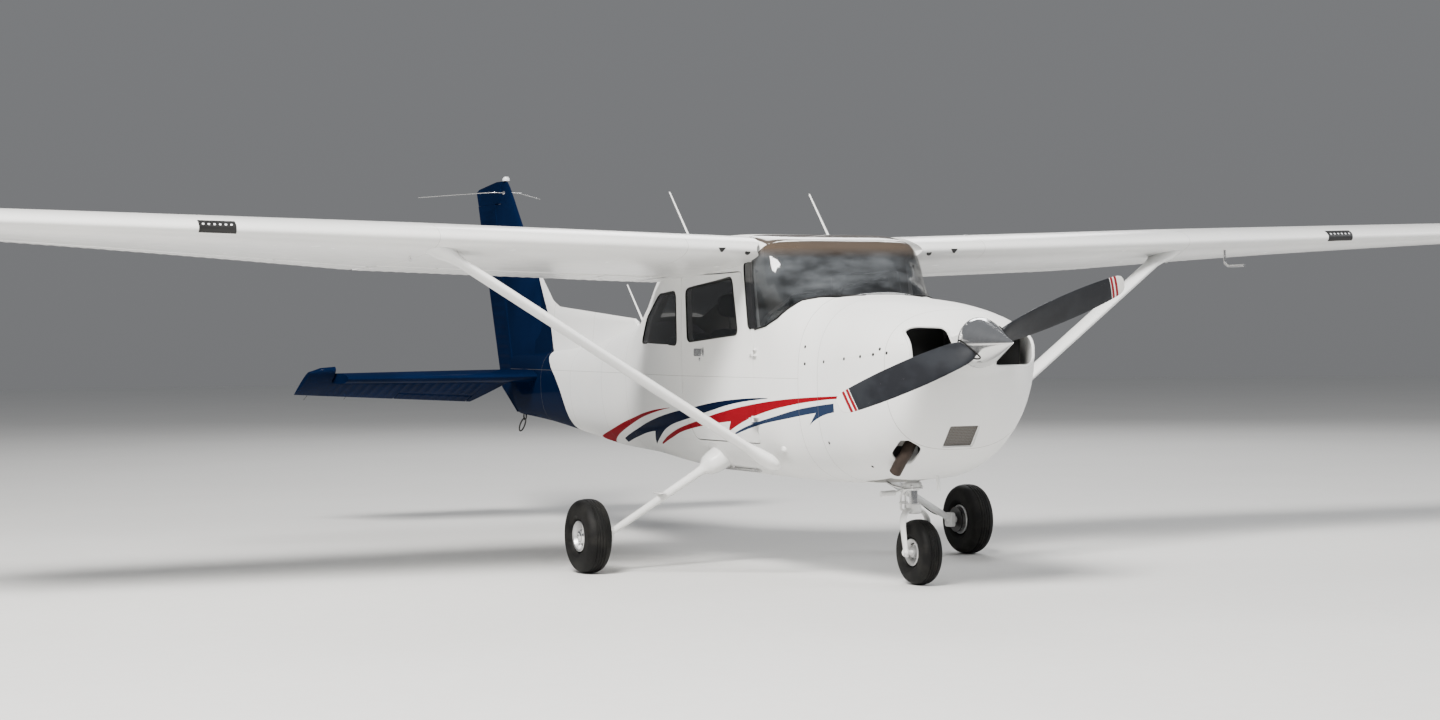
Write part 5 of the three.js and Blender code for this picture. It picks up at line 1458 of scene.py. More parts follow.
def rim(wheel, bore):
    """A split wheel: two dished flanges with a rolled lip, a hub and a web between."""
    seat, half = wheel["rim"] - 0.6, wheel["half"] * RIM_HALF
    flange = [
        (bore, -half), (bore + 15, -half), (bore + 19, -half * 0.55), (seat * 0.52, -half * 0.35),
        (seat - 12, -half * 0.42), (seat - 6, -half * 0.8), (seat + 2, -half - 3), (seat + 12, -half - 7),
        (seat + 17, -half - 3), (seat + 15, -half + 3), (seat, -half + 9),
    ]
    profile = flange + [(radius, -offset) for radius, offset in flange[::-1]]
    return turned(profile, middle_of(wheel), ACROSS, 72, loop=True)


def bolt(spot, way=1, size=5.5):
    """A bolt head on a washer, out along the axle one way or the other."""
    head = [(size * 1.5, 0), (size * 1.5, 1.5), (size, 1.6), (size, 6), (size * 0.8, 7)]
    return knob([(radius, offset * way) for radius, offset in head], spot, ACROSS, 12)


main_spot, nose_spot = middle_of(MAIN), middle_of(NOSE)
pair("main_tyre_tread", tyre(MAIN), RUBBER, "main_wheel", "main_tyre")
bolts = ring_of(3, 62, main_spot + [MAIN["half"] * 0.30, 0, 0], bolt)
pair("main_rim_metal", [rim(MAIN, 20.6), *bolts], WHEEL, "main_wheel", "main_rim")
hub_cap = [(0, 70), (9, 69), (14, 64), (30, 60), (44, 50), (53, 36), (55, 24), (0, 24)]
pair("hub_cap", turned(hub_cap, main_spot, ACROSS, 40), CHROME, "main_wheel")
# Painted shade: black discs on the wheel's face stand in for the dark inside of its holes, which are not
# cut.
hole = lambda spot: knob([(6.5, -2), (6.5, 1)], spot, ACROSS, 12)
holes = ring_of(18, 65, main_spot + [MAIN["half"] * RIM_HALF * 0.45, 0, 0], hole)
pair("rim_hole_shade", holes, INK, "main_wheel")
disc = [(34, -62), (36, -84), (82, -84), (82, -92), (22, -92), (22, -62)]
pair("brake_disc", turned(disc, main_spot, ACROSS, 64, loop=True), DISC, "main_wheel")
piece("nose_tyre_tread", tyre(NOSE), RUBBER, "nose_wheel", "nose_tyre")
nose_parts = [rim(NOSE, 13.6)]
for way in (-1, 1):
    face = nose_spot + [way * NOSE["half"] * 0.27, 0, 0]
    nose_parts += ring_of(6, 36, face, lambda spot: bolt(spot, way, 4.5))
piece("nose_rim_metal", nose_parts, WHEEL, "nose_wheel", "nose_rim")
valve = [nose_spot + [-30, 0, 52], nose_spot + [-52, 0, 44]]
piece("valve_stems", bar(valve, 8, 3, 3, 8), SEAL, "nose_wheel")

LEG = {"root": (394, 1448, 706), "foot": (1200, 1455, 231), "clear": 560, "belly": 575}
# share of the length, half width, half height
LEG_STOPS = [(0, 96, 78), (0.1, 88, 74), (0.165, 72, 62), (0.195, 46, 44), (0.22, 30, 30), (0.35, 27, 27),
             (1, 20, 20)]
AXLE = [(20, -155), (20, 62), (16, 64)]
CLAMP = [(26, -26), (29, -20), (29, 20), (26, 26)]
STEP = {"outline": (832, 884, 1394, 1504), "height": (465, 474)}
STEP_STALK = [(872, 1446, 400), (864, 1450, 435), (860, 1450, 468)]


def main_leg():
    """A tapering round spring leg with its root fairing, axle, torque plate, clamp and boarding step."""
    leg, faces = rod(LEG["root"], LEG["foot"], LEG_STOPS, 60, 36)
    leg = outside_hull(leg, (leg[:, 0] < LEG["clear"]) & (leg[:, 2] > LEG["belly"]))
    x, y, z = main_spot
    axle = knob(AXLE, main_spot)
    plate = slab(rounded(box(y - 46, y + 46, z - 46, z + 46), 20), x - 147, x - 118, SIDE_VIEW, 3)
    clamp = knob(CLAMP, LEG["foot"], (0.86, 0.04, -0.5), 28)
    tread = slab(rounded(box(*STEP["outline"]), 14), *STEP["height"], PLAN_VIEW, 2)
    return [(leg, faces), axle, plate, clamp, tread, bent_bar(STEP_STALK, 12, 10, 16)]


pair("main_leg_skin", main_leg(), PAINT, replaces="main_leg")
x, y, z = main_spot
# low and high corner from the axle's middle, power, rows, columns: cylinder, pad and bridge
CALIPER = [
    ((-116, 36, -38), (-96, 92, 38), 6, 16, 24),
    ((-80, 50, -34), (-74, 86, 34), 8, 12, 20),
    ((-104, 87, -34), (-74, 96, 34), 8, 12, 20),
]
caliper = [pillow(main_spot + low, main_spot + high, *shape) for low, high, *shape in CALIPER]
pair("brake_caliper", caliper, IRON)
hose = [(x - 100, y + 70, z + 30), (x - 124, y + 46, z + 36), (1150, 1478, 256), (900, 1464, 403),
        (620, 1452, 566)]
pair("brake_line", bent_bar(hose, 60, 4, 4, 8), SEAL)

# Nose gear
STEER_AXIS = unit([0, 43, 595])
STEER_FOOT = np.array([0, -193, 305.0])


def on_steer(height, side=0.0, ahead=0.0):
    """A point of the steering axis at a height, moved aside and forward."""
    return STEER_FOOT + STEER_AXIS * (height - STEER_FOOT[2]) / STEER_AXIS[2] + [side, -ahead, 0]


# The strut's collar and tube as (radius, offset) up from its foot
NOSE_TUBE = [(36, 0), (36, 6), (48, 7), (50, 12), (50, 40), (46, 46), (40, 50), (36, 60), (36, 365)]


def nose_strut():
    """The fixed tube, its stepped collar with bolts, and the brackets on the firewall."""
    barrel = knob(NOSE_TUBE, on_steer(536), STEER_AXIS, 40)
    shelves = [pillow((-60, -168, low), (60, -0.5, low + 30), 8, 14, 28) for low in (600, 860)]
    bolts = [knob([(6, -52), (6, 52)], on_steer(560, side), AFT, 8) for side in (-34, 34)]
    return [barrel, *shelves, *bolts]


# Half of the fork from its axle end to its top as (side, height), and its depth by height
FORK_HALF = [(85, 187), (86, 250), (85, 330), (78, 378), (55, 414), (28, 428), (0, 431)]
FORK_DEPTH = {"heights": [187, 260, 400, 431], "half": [22, 27, 33, 36]}
FORK_END = [(24, -9), (26, -5), (26, 5), (24, 9)]


def fork():
    """The fork: a flattened tube over the tyre from axle to axle, leaning with the steering axis,
    with a block at its top."""
    side, height = np.array(FORK_HALF + [(-x, z) for x, z in FORK_HALF[-2::-1]], float).T
    top = FORK_HALF[-1][1]
    lean = (on_steer(top)[1] - NOSE["station"]) / (top - NOSE["radius"])
    station = NOSE["station"] + lean * (height - NOSE["radius"])
    path = smooth_path(np.stack([side, station, height], 1), 80)
    deep = np.interp(path[:, 2], FORK_DEPTH["heights"], FORK_DEPTH["half"])
    arch = tube(path, deep, 9.5, 24, (0, 1, 0.01))
    block = pillow(on_steer(416) - [34, 34, 14], on_steer(462) + [34, 34, 0], 6, 20, 32)
    ends = [knob(FORK_END, nose_spot + [side, 0, 0], ACROSS, 28) for side in (-86, 86)]
    shaft = knob([(13, -102), (13, 102)], nose_spot)
    nuts = [knob([(17, -6), (17, 4)], nose_spot + [side, 0, 0], ACROSS, 6) for side in (-98, 98)]
    return [arch, block, *ends, shaft, *nuts]


KNEE = np.array([0, -62, 460.0])
# The links' path from the fork to the knee and on to the strut: (height, ahead) on the steering axis
LOW_LINK, HIGH_LINK = [(424, -34), (418, -70)], [(540, -62), (552, -46)]
LINK_SIDE = 15


def links():
    """The torque links behind the strut: two tapering loops that meet at a bolt, round the gap that
    shows in them from the side."""
    start, bend = (on_steer(height, 0, ahead) for height, ahead in LOW_LINK)
    low = [start, bend + [0, 0, -6], KNEE + [0, 6, -30], KNEE]
    high = [KNEE, KNEE + [0, 4, 30], *(on_steer(height, 0, ahead) for height, ahead in HIGH_LINK)]
    made = []
    for side in (-LINK_SIDE, LINK_SIDE):
        made += [bent_bar(np.array(link) + [side, 0, 0], 24, 5, 9, 12, ACROSS) for link in (low, high)]
    return made + [knob([(8, -26), (8, 26)], KNEE, ACROSS, 16)]


piece("nose_strut_skin", nose_strut(), PAINT, replaces="nose_strut")
piece("nose_fork_skin", fork() + links(), PAINT, "steering", "nose_fork")
piece("nose_piston", bar([on_steer(450), on_steer(534.5)], 8, 25, 25, 32), CHROME, "steering")
# The shimmy damper beside the strut: cylinder, cap and rod, with their ends as (height, side, ahead)
DAMPER = [
    {"ends": ((522, -190, -14), (526, -112, -14)), "count": 8, "radius": 15, "sides": 20},
    {"ends": ((521.5, -204, -14), (522, -190, -14)), "count": 4, "radius": 17, "sides": 20},
    {"ends": ((526, -114, -14), (550, -44, -14)), "count": 8, "radius": 6, "sides": 12},
]
damper = [bar([on_steer(*end) for end in row["ends"]], row["count"], row["radius"], None, row["sides"])
          for row in DAMPER]
piece("shimmy_damper", damper, PAINT)
STEER_ROD = [(546, 30, -44), (560, 62, -120), (585, 78, -178)]  # height, side, ahead
arms = []
for way in (-1, 1):
    path = [on_steer(height, way * side, ahead) for height, side, ahead in STEER_ROD]
    arms.append(bent_bar(path, 16, 6, 6, 10))
piece("steering_rods", arms, STEEL)
band_turn = full_turn(30)[:, None]
band = 54 * (np.cos(band_turn) * ACROSS + np.sin(band_turn) * np.cross(STEER_AXIS, ACROSS))
piece("collar_band", closed_loop(on_steer(546) + band, 3.2, 8, STEER_AXIS), STEEL)


# Propeller
# distance along the blade, chord, thickness, pitch in degrees
BLADE_ROWS = np.array([
    [30, 90, 60, 56], [90, 104, 54, 52], [132, 146, 44, 46], [190, 162, 32, 40], [270, 166, 26, 34],
    [420, 170, 20, 27], [620, 162, 14, 20], [800, 142, 10, 16], [920, 116, 8, 14], [952, 90, 7, 13.5],
    [965, 50, 5, 13],
])
BLADE_SPAN = (30, 935)  # its start, and the length from there to its tip
BLADE_TURNS = [math.radians(degrees - 19.7) for degrees in (90, 270)]
PROP_STATION = -980
BOOT = {"chord": 160, "thick": 60, "pitch": 46, "radius": 4.0}


def pitched(along, out, lean):
    """Side and station from the blade's middle of points on a section leaned to its pitch."""
    return -(along * np.cos(lean) - out * np.sin(lean)), -(along * np.sin(lean) + out * np.cos(lean))


def on_blade(x, y, z, turn):
    """Points beside the crankshaft with z along a blade, turned with the blade about the shaft."""
    cos, sin = math.cos(turn), math.sin(turn)
    return np.stack([x * cos + z * sin, y, AXIS_HEIGHT - x * sin + z * cos], -1)


def blade(turn):
    """One blade: an ellipse with a sharper rear edge, its chord, thickness and pitch eased along the
    radius, turned about the crankshaft."""
    radius = BLADE_SPAN[0] + BLADE_SPAN[1] * np.sin(np.linspace(0, np.pi / 2, 90))
    chord, thick, pitch = (eased(radius, BLADE_ROWS[:, 0], column)[:, None] for column in BLADE_ROWS.T[1:])
    around = full_turn(48)[None, :]
    taper = 1 - 0.35 * np.clip((radius[:, None] - 120) / 200, 0, 1) * (1 - np.cos(around)) / 2
    x, y = pitched(chord / 2 * np.cos(around), thick / 2 * np.sin(around) * taper, np.radians(pitch))
    return skin(on_blade(x, PROP_STATION + y, radius[:, None] + 0 * x, turn))


def blade_boot(turn):
    """The dark edge of the spinner's cut-out round a blade: an ellipse of the blade's section plus a
    margin, laid on the spinner at height root(radius^2 - side^2) along the blade."""
    around = full_turn(48)
    lean = math.radians(BOOT["pitch"])
    x, y = pitched(BOOT["chord"] / 2 * np.cos(around), BOOT["thick"] / 2 * np.sin(around), lean)
    y = PROP_STATION + y
    reach = np.interp(-y, -spinner_line[:, 1], spinner_line[:, 0]) + 1.0
    z = np.sqrt(np.maximum(reach**2 - x**2, 30))
    return closed_loop(on_blade(x, y, z, turn), BOOT["radius"], 10, AFT)


# Profiles of (radius, station) about the crankshaft
SPINNER = [(134, -918), (136, -930), (134, -952), (122, -992), (96, -1056), (64, -1130), (32, -1204),
           (11, -1254), (4, -1269), (0.3, -1273)]
SPINNER_INSIDE = [(0, -1250), (24, -1200), (56, -1128), (88, -1054), (114, -990), (126, -950),
                  (126, -934), (63, -934)]
BACKPLATE = [(64, -917), (137, -917), (139, -921), (137, -926), (64, -925)]
HUB = [(0, 0), (60, 0), (62, -4), (62, -94), (56, -98), (0, -98.7)]
SCREW = [(4, -2), (4, 1), (3, 2)]
shaft_spot = np.array([0, 0, AXIS_HEIGHT])
hub = turned(HUB, (0, -931.3, AXIS_HEIGHT), AFT, 40)
piece("propeller_blades", [hub, *[blade(turn) for turn in BLADE_TURNS]], BLADE, "propeller", "propeller")
spinner_line = smooth_path(SPINNER, 70)
shell = turned([(63, -919), *spinner_line.tolist(), *SPINNER_INSIDE], shaft_spot, AFT, 96, loop=True)
piece("spinner_shell", shell, CHROME, "propeller", "spinner")
plate_parts = [turned(BACKPLATE, shaft_spot, AFT, 96, loop=True)]
for angle in np.arange(12) * math.pi / 6 + 0.2:
    spoke = np.array([math.cos(angle), 0, math.sin(angle)])
    plate_parts.append(knob(SCREW, [0, -938, AXIS_HEIGHT] + 135.5 * spoke, spoke, 10))
piece("spinner_plate", plate_parts, STEEL, "propeller")
piece("blade_boots", [blade_boot(turn) for turn in BLADE_TURNS], SEAL, "propeller")


# Nose fittings

def front_of_cowl(x, z):
    """The station of the cowling's front skin at a side and height, where side_of_hull equals the side,
    found by halving the range from its nose to the firewall."""
    x, z = np.asarray(x, float), np.asarray(z, float)
    near, far = np.full_like(x, -911.9), np.full_like(x, -10.0)
    for _ in range(24):
        middle = (near + far) / 2
        wide, rise, reach, power, _ = oval(middle, z)
        inside = (np.abs(x) / wide) ** power + (np.abs(rise) / reach) ** power < 1
        far = np.where(inside, middle, far)
        near = np.where(inside, near, middle)
    return (near + far) / 2


lip_x, lip_z = inlet_line().T
lip = np.stack([lip_x, front_of_cowl(lip_x, lip_z) + 5, lip_z], 1)
pair("inlet_lip", closed_loop(lip, 9, 12, AFT), PAINT)
FINS = {"stations": (-540, -380, -220), "low": 1262, "pitch": 19, "count": 9, "across": (225, 372)}
fins = []
for station in FINS["stations"]:
    for number in range(FINS["count"]):
        low, (near, far) = FINS["low"] + number * FINS["pitch"], FINS["across"]
        fins.append(pillow((near, station - 55, low), (far, station + 55, low + 6), 6, 8, 20))
pair("cylinder_fins", fins, IRON)
# A baffle's place behind each inlet: its black plate is painted shade of the engine bay seen through the
# opening.
pair("inlet_baffle", pillow((95, -700, 1245), (400, -694, 1462), 10, 10, 24), INK)
EXHAUST = [(-175, -540, 899), (-228, -574, 842), (-268, -578, 780), (-286, -542, 722), (-296, -496, 662)]
exhaust_path = smooth_path(EXHAUST, 40)
mouth_way = unit(exhaust_path[-1] - exhaust_path[-3])
piece("exhaust_tube", tube(exhaust_path, 34, 34, 32, AFT), SOOT, replaces="exhaust_pipe")
# The pipe is closed: a black disc at its end stands for the bore, its soot and the painted shade inside it.
piece("exhaust_bore_soot_and_shade", knob([(29, 0), (29, 1.5)], exhaust_path[-1] + mouth_way * 1.5, mouth_way, 28), INK)


def filter_frame():
    """A rounded frame round the filter's slanting face."""
    (front_y, front_z), (low_y, low_z) = FILTER["ends"]
    slope = unit([0, low_y - front_y, low_z - front_z])
    normal = np.cross(slope, ACROSS)
    middle = np.array([FILTER["side"], (front_y + low_y) / 2, (front_z + low_z) / 2])
    half, high = FILTER["half"], math.hypot(low_y - front_y, low_z - front_z) / 2
    ring = rounded(box(-half, half, -high, high), 14, 5)
    path = middle + ring[:, :1] * ACROSS + ring[:, 1:] * slope + normal * 2
    return closed_loop(path, 5, 10, normal)


FILTER = {"side": -15, "half": 95, "ends": ((-782, 928), (-689, 808))}  # ends: station and height
piece("filter_frame", filter_frame(), PAINT)
BREATHER = [(-51, -545, 640), (-51, -548, 600), (-51, -552, 547)]
piece("breather_tube", bent_bar(BREATHER, 14, 11, 11, 16), PAINT)
# The cowling's fasteners by station and height
FASTENERS = [(150, 1364), (133, 1266), (-70, 1279), (-302, 1297), (-470, 1310), (-590, 1322),
             (-640, 1352), (-700, 1330), (-61, 817), (-347, 690)]
STUD = [(9, -2), (9, 1.2), (7, 2.2)]
studs = []
for station, height in FASTENERS:
    point = np.array([float(side_of_hull(station, height)), station, height])
    studs.append(knob(STUD, point, hull_normal(point[None])[0], 12))
pair("cowl_fasteners", studs, INK)


# Seals, handles and fittings on the hull
def on_hull(line, out=1.0):
    """Points on the left of the hull at (station, height) corners, a little proud of it."""
    line = np.asarray(line, float)
    across = side_of_hull(line[:, 0], line[:, 1])
    return np.stack([across + out, line[:, 0], line[:, 1]], 1)


DOOR_WINDOW = [(955, 1438), (1030, 1776), (1696, 1722), (1676, 1392)]
QUARTER_WINDOW = [(1848, 1372), (1856, 1706), (2200, 1694), (2530, 1548), (2655, 1384)]
SHIELD_EDGE = [(725, 1466), (582, 1487), (472, 1532), (403, 1590), (340, 1635), (239, 1656), (126, 1657)]
REAR_EDGE = [(2375, 1930), (2375, 1846), (2680, 1704), (2985, 1556), (3060, 1590)]
SIDE_PANE = {"low": (700, 806, 1470), "high": (760, 868, 1868), "corner": 26}  # front, rear, height
pair("door_window_seal", closed_loop(on_hull(rounded(DOOR_WINDOW, 45, 12)), 5), SEAL, "door")
pair("quarter_window_seal", closed_loop(on_hull(rounded(QUARTER_WINDOW, 45, 12)), 5), SEAL)
pair("windshield_seal", tube(on_hull(straight_path(SHIELD_EDGE, 70)), 5, 5, 10, (1, 0, 0.3)), SEAL)


def side_pane():
    """The windshield's side glass, lapped over the door post: a thin plate on the hull between the
    frame's pane and the post's front edge, both straight lines in height."""
    height = np.linspace(SIDE_PANE["low"][2], SIDE_PANE["high"][2], 40)[:, None]
    share = (height - height[0]) / (height[-1] - height[0])
    ends = list(zip(SIDE_PANE["low"], SIDE_PANE["high"]))
    front, rear = (low + (high - low) * share for low, high in ends[:2])
    corner = SIDE_PANE["corner"]
    pull = lambda depth: corner * (1 - np.sqrt(1 - np.clip(1 - depth / corner, 0, 1) ** 2))
    rear = rear - pull(height[-1] - height) - pull(height - height[0])
    station = front + (rear - front) * np.linspace(0, 1, 12)
    level = height + 0 * station
    across = side_of_hull(station, level)
    outer, inner, edge = (np.stack([across + out, station, level], -1) for out in (2.5, -4, 2))
    return skin(np.concatenate([outer, inner[:, ::-1]], 1)), edge[:, -1]


pane, pane_edge = side_pane()
pair("windshield_side", pane, PANE)
pair("windshield_side_seal", tube(pane_edge, 5, 5, 10, (0, 1, 0.3)), SEAL)
pair("rear_window_seal", tube(on_hull(straight_path(REAR_EDGE, 40)), 5, 5, 10, (1, 0, 0.3)), SEAL)

# The door handle by station and height: its plate and paddle, and its grip as (out, height)
HANDLE_PLATE, HANDLE_PADDLE = (1432, 1578, 1304, 1352), (1450, 1568, 1312, 1344)
HANDLE_GRIP = [(2, 1302), (15, 1312), (15, 1344), (2, 1354)]
handle_side = float(side_of_hull(1500, 1328))
plate = slab(rounded(box(*HANDLE_PLATE), 10), handle_side - 3, handle_side + 5, SIDE_VIEW, 1.5)
paddle = slab(rounded(box(*HANDLE_PADDLE), 8), handle_side + 2, handle_side + 10, SIDE_VIEW, 2)
grip = bent_bar([(handle_side + out, 1440, height) for out, height in HANDLE_GRIP], 16, 6, 5, 12, AFT)
pair("door_handle", [plate, paddle, grip], STEEL, "door")
lock = knob([(11, -1), (11, 2), (8, 3)], on_hull([(1500, 1285)], 0)[0], ACROSS, 20)
pair("door_lock", lock, STEEL, "door")
latch = knob([(19, -1), (19, 2), (15, 4)], on_hull([(2345, 1130)], 0)[0])
piece("baggage_latch", latch, STEEL, "baggage_hatch")
vent_spot = np.array([float(side_of_hull(469, 764)), 469, 764])
pair("side_vent", pillow(vent_spot - [14, 26, 18], vent_spot + [14, 26, 18], 2.6, 14, 22), PAINT)
PORT = [(0, -1), (14, -1), (14, 1), (3, 1.6), (0, 0)]
piece("static_port", turned(PORT, on_hull([(250, 980)], 0)[0], ACROSS, 20), STEEL)


def whip(base, tip, foot=34):
    """A whip antenna: a tapering rod leaning back from a streamlined foot."""
    base, tip = np.asarray(base, float), np.asarray(tip, float)
    at = np.linspace(0, 1, 16)
    path = base + at[:, None] * (tip - base)
    stem = tube(path, eased(at, [0, 0.1, 1], [10, 8, 5]), None, 12)
    shoe = pillow(base - [12, foot, 12], base + [12, foot, 14], 2.4, 12, 20)
    return [stem, shoe]


roof = float(section(np.array(2100.0))[3]) - 4
piece("roof_whip_right", whip((-300, 2100, roof), (-300, 2480, 2372)), PAINT)
piece("roof_whip_left", whip((300, 1347, wing_skin_point(500, 0.42, True)[2]), (300, 1650, 2325)), PAINT)
piece("tail_whip", whip((0, 3560, 1488), (0, 3868, 1790), 30), PAINT)
FIN_ROD = [(8, 6236, 2560), (90, 6262, 2562), (300, 6520, 2556), (520, 6810, 2545)]
rods = [bent_bar(np.array(FIN_ROD) * [way, 1, 1], 30, 4, 4, 8) for way in (-1, 1)]
rods.append(pillow((-24, 6205, 2544), (24, 6268, 2576), 3, 12, 20))
piece("fin_rods", rods, STEEL, sharp=50)
wicks = []
for side in (-1300, -1620, 1300, 1620):
    ends, _ = drooped((np.array([[side, 6294, TAIL_HEIGHT], [side, 6400, TAIL_HEIGHT + 4]]), []))
    wicks.append(bar(ends, 6, 2.2, 2.2, 8))
piece("static_wicks", wicks, INK, "elevator")
TAIL_RING = {"middle": (0, 5868, 812), "radius": 26}
SHACKLE = {"middle": (0, 5925, 745), "long": 66, "wide": 20, "lean": (0, 0.66, -0.75),
           "level": (0, 0.75, 0.66)}
cos, sin = np.cos(full_turn(32))[:, None], np.sin(full_turn(32))[:, None]
tail_eye = np.array(TAIL_RING["middle"]) + (cos * AFT + sin * UP) * TAIL_RING["radius"]
shackle = cos * SHACKLE["lean"] * SHACKLE["long"] + sin * ACROSS * SHACKLE["wide"] + SHACKLE["middle"]
piece("tail_tie_ring", [closed_loop(tail_eye, 6), closed_loop(shackle, 6, 10, SHACKLE["level"])], INK)


# Cabin
def seat_pad(low, high, name, power=5.0):
    """A cushion's starting block, in millimetres, a little smaller than its place."""
    return piece(name, pillow(low, high, power, 30, 44), CLOTH, sharp=80)


def leaned(made, foot, angle):
    """Leans a cushion back about a level line through its foot."""
    foot = Vector(to_scene(foot))
    turn = Matrix.Rotation(-math.radians(angle), 4, "X")
    made.data.transform(Matrix.Translation(foot) @ turn @ Matrix.Translation(-foot))
    return made


def inflate(made, pressure=4.0, cap=0.016, voxel=0.006):
    """Fills a cushion as its foam does: the mesh is remeshed evenly, blown up as cloth for 20 frames,
    and no point may move further than the cap."""
    scene = bpy.context.scene
    parent, made.parent = made.parent, None
    remesh = made.modifiers.new("even", "REMESH")
    remesh.mode, remesh.voxel_size = "VOXEL", voxel
    bpy.context.view_layer.objects.active = made
    bpy.ops.object.modifier_apply(modifier=remesh.name)
    rest = corners_of(made.data)
    soft = made.modifiers.new("foam", "CLOTH")
    soft.settings.use_pressure = True
    soft.settings.uniform_pressure_force = pressure
    soft.settings.effector_weights.gravity = 0
    soft.point_cache.frame_start, soft.point_cache.frame_end = 1, 20
    for number in range(1, 21):
        scene.frame_set(number)
    evaluated = made.evaluated_get(bpy.context.evaluated_depsgraph_get())
    move = corners_of(evaluated.data) - rest
    made.modifiers.remove(soft)
    scene.frame_set(1)
    length = np.linalg.norm(move, axis=1, keepdims=True)
    made.data.polygons.foreach_set("use_smooth", np.ones(len(made.data.polygons), bool))
    move_corners(made.data, rest + move * np.minimum(1, cap / np.maximum(length, 1e-9)))
    made.parent = parent
    return made


def channelled(made, axis, lines, depth=7.0, width=9.0):
    """Presses sewn lines into a cushion: points sink towards its middle by a bell curve of their
    distance from each line along one axis."""
    points = from_scene(corners_of(made.data))
    middle = (points.min(0) + points.max(0)) / 2
    sink = sum(np.exp(-(((points[:, axis] - line) / width) ** 2)) for line in lines)
    inwards = middle - points
    inwards[:, axis] = 0
    points += unit(inwards) * (sink * depth)[:, None]
    move_corners(made.data, to_scene(points))
    return made


def copied(made, name, move):
    """The same cushion again, moved aside in millimetres."""
    mesh = made.data.copy()
    mesh.transform(Matrix.Translation(np.array(move) / 1000))
    return finished(linked(name, mesh), CLOTH, "airframe")


SEAT_SIDE = 250
SEAT_SEAMS, BENCH_SEAMS = (140, 360), (-220, 0, 220)
seat_low = seat_pad((46, 1020, 905), (454, 1510, 995), "seat_cushion_left")
seat_low = channelled(inflate(seat_low), 0, SEAT_SEAMS)
seat_back = seat_pad((52, 1470, 960), (448, 1560, 1500), "seat_back_left")
seat_back = channelled(inflate(leaned(seat_back, (250, 1500, 930), 12)), 0, SEAT_SEAMS)
headrest = inflate(seat_pad((140, 1592, 1545), (360, 1668, 1690), "headrest_left", 3.5), 3.0, 0.01)
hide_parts("front_seat_left")
for made in (seat_low, seat_back, headrest):
    again = copied(made, made.name.replace("left", "right"), (-2 * SEAT_SIDE, 0, 0))
    if made is seat_low:
        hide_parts("front_seat_right")
bench = seat_pad((-440, 1860, 890), (440, 2250, 990), "bench_cushion")
bench = channelled(inflate(bench), 0, BENCH_SEAMS)
bench_back = seat_pad((-430, 2222, 950), (430, 2312, 1470), "bench_back")
bench_back = channelled(inflate(leaned(bench_back, (0, 2250, 930), 9)), 0, BENCH_SEAMS)
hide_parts("rear_bench")

# A front seat's frame and the control wheel ahead of it, from the seat's middle
LEGS = {"across": (-120, 120), "stations": (1110, 1400), "foot": 612, "top": 905, "taper": 0.92}
RAIL_ENDS, RAIL_HEIGHT = (1040, 1500), 606
POSTS = {"across": (-50, 50), "ends": ((1575, 1440), (1620, 1600))}  # ends: station and height
YOKE = {"station": 520, "height": 1330, "half": 150, "high": 120, "lift": 40, "arc": (200, 340)}
for word, side in [("right", -1), ("left", 1)]:
    middle = side * SEAT_SIDE
    frame_bars = []
    for across in LEGS["across"]:
        for station in LEGS["stations"]:
            foot = (middle + across, station, LEGS["foot"])
            top = (middle + across * LEGS["taper"], station, LEGS["top"])
            frame_bars.append(bar([foot, top], 8, 12, 12, 14))
        rail = [(middle + across, station, RAIL_HEIGHT) for station in RAIL_ENDS]
        frame_bars.append(bar(rail, 6, 14, 9, 12, ACROSS))
    for across in POSTS["across"]:
        frame_bars.append(bar([(middle + across, *end) for end in POSTS["ends"]], 6, 6, 6, 10))
    piece("seat_frame_" + word, frame_bars, STEEL)
    yoke_hub = np.array([middle, YOKE["station"], YOKE["height"]])
    turn = np.radians(np.linspace(*YOKE["arc"], 30))
    across, rise = YOKE["half"] * np.cos(turn), YOKE["lift"] + YOKE["high"] * np.sin(turn)
    grip = tube(yoke_hub + np.stack([across, 0 * turn, rise], 1), 11, 15, 14, AFT)
    column = bar([yoke_hub + [0, 0, -70], yoke_hub + [0, -130, -30]], 8, 14, 14, 16)
    piece("yoke_" + word, [grip, column], PANEL)
piece("bench_base", [pillow((-280, 1935, 612), (280, 2285, 885), 10, 12, 32)], LINING)
DIALS = {"heights": (1520, 1420), "start": 400, "pitch": 105, "count": 8, "station": 405.5}
RIM = [(38, -4), (44, -4), (44, 5), (40, 6), (38, 3)]
dials, rims = [], []
for height in DIALS["heights"]:
    for number in range(DIALS["count"]):
        across = DIALS["start"] - number * DIALS["pitch"]
        if abs(across) < 30:
            continue
        spot = (across, DIALS["station"], height)
        dials.append(knob([(38, 0), (38, 2)], spot, AFT, 28))
        rims.append(turned(RIM, spot, AFT, 28, loop=True))
piece("dial_faces", dials, DIAL)
piece("dial_rims", rims, PANEL)
HOOD = {"half": 430, "station": 436.0, "top": 1618, "sag": 30}
hood_side = straight_path([(-HOOD["half"], 0), (HOOD["half"], 0)], 30)[:, 0]
hood_height = HOOD["top"] - HOOD["sag"] * (hood_side / HOOD["half"]) ** 2
hood = np.stack([hood_side, np.full(30, HOOD["station"]), hood_height], 1)
piece("panel_hood", tube(hood, 13, 20, 14, AFT), PANEL)


# Every frame node that still shows gets its finish
NODE_FINISH = {"engine": IRON, "instrument_panel": PANEL, "air_filter": SCREEN}
for name, material in NODE_FINISH.items():
    for slot in frame["nodes"][name].material_slots:
        slot.material = material


# Stage, light and camera
FLOOR = {"radius": 60000, "rings": 24, "corners": 64, "level": -0.5}


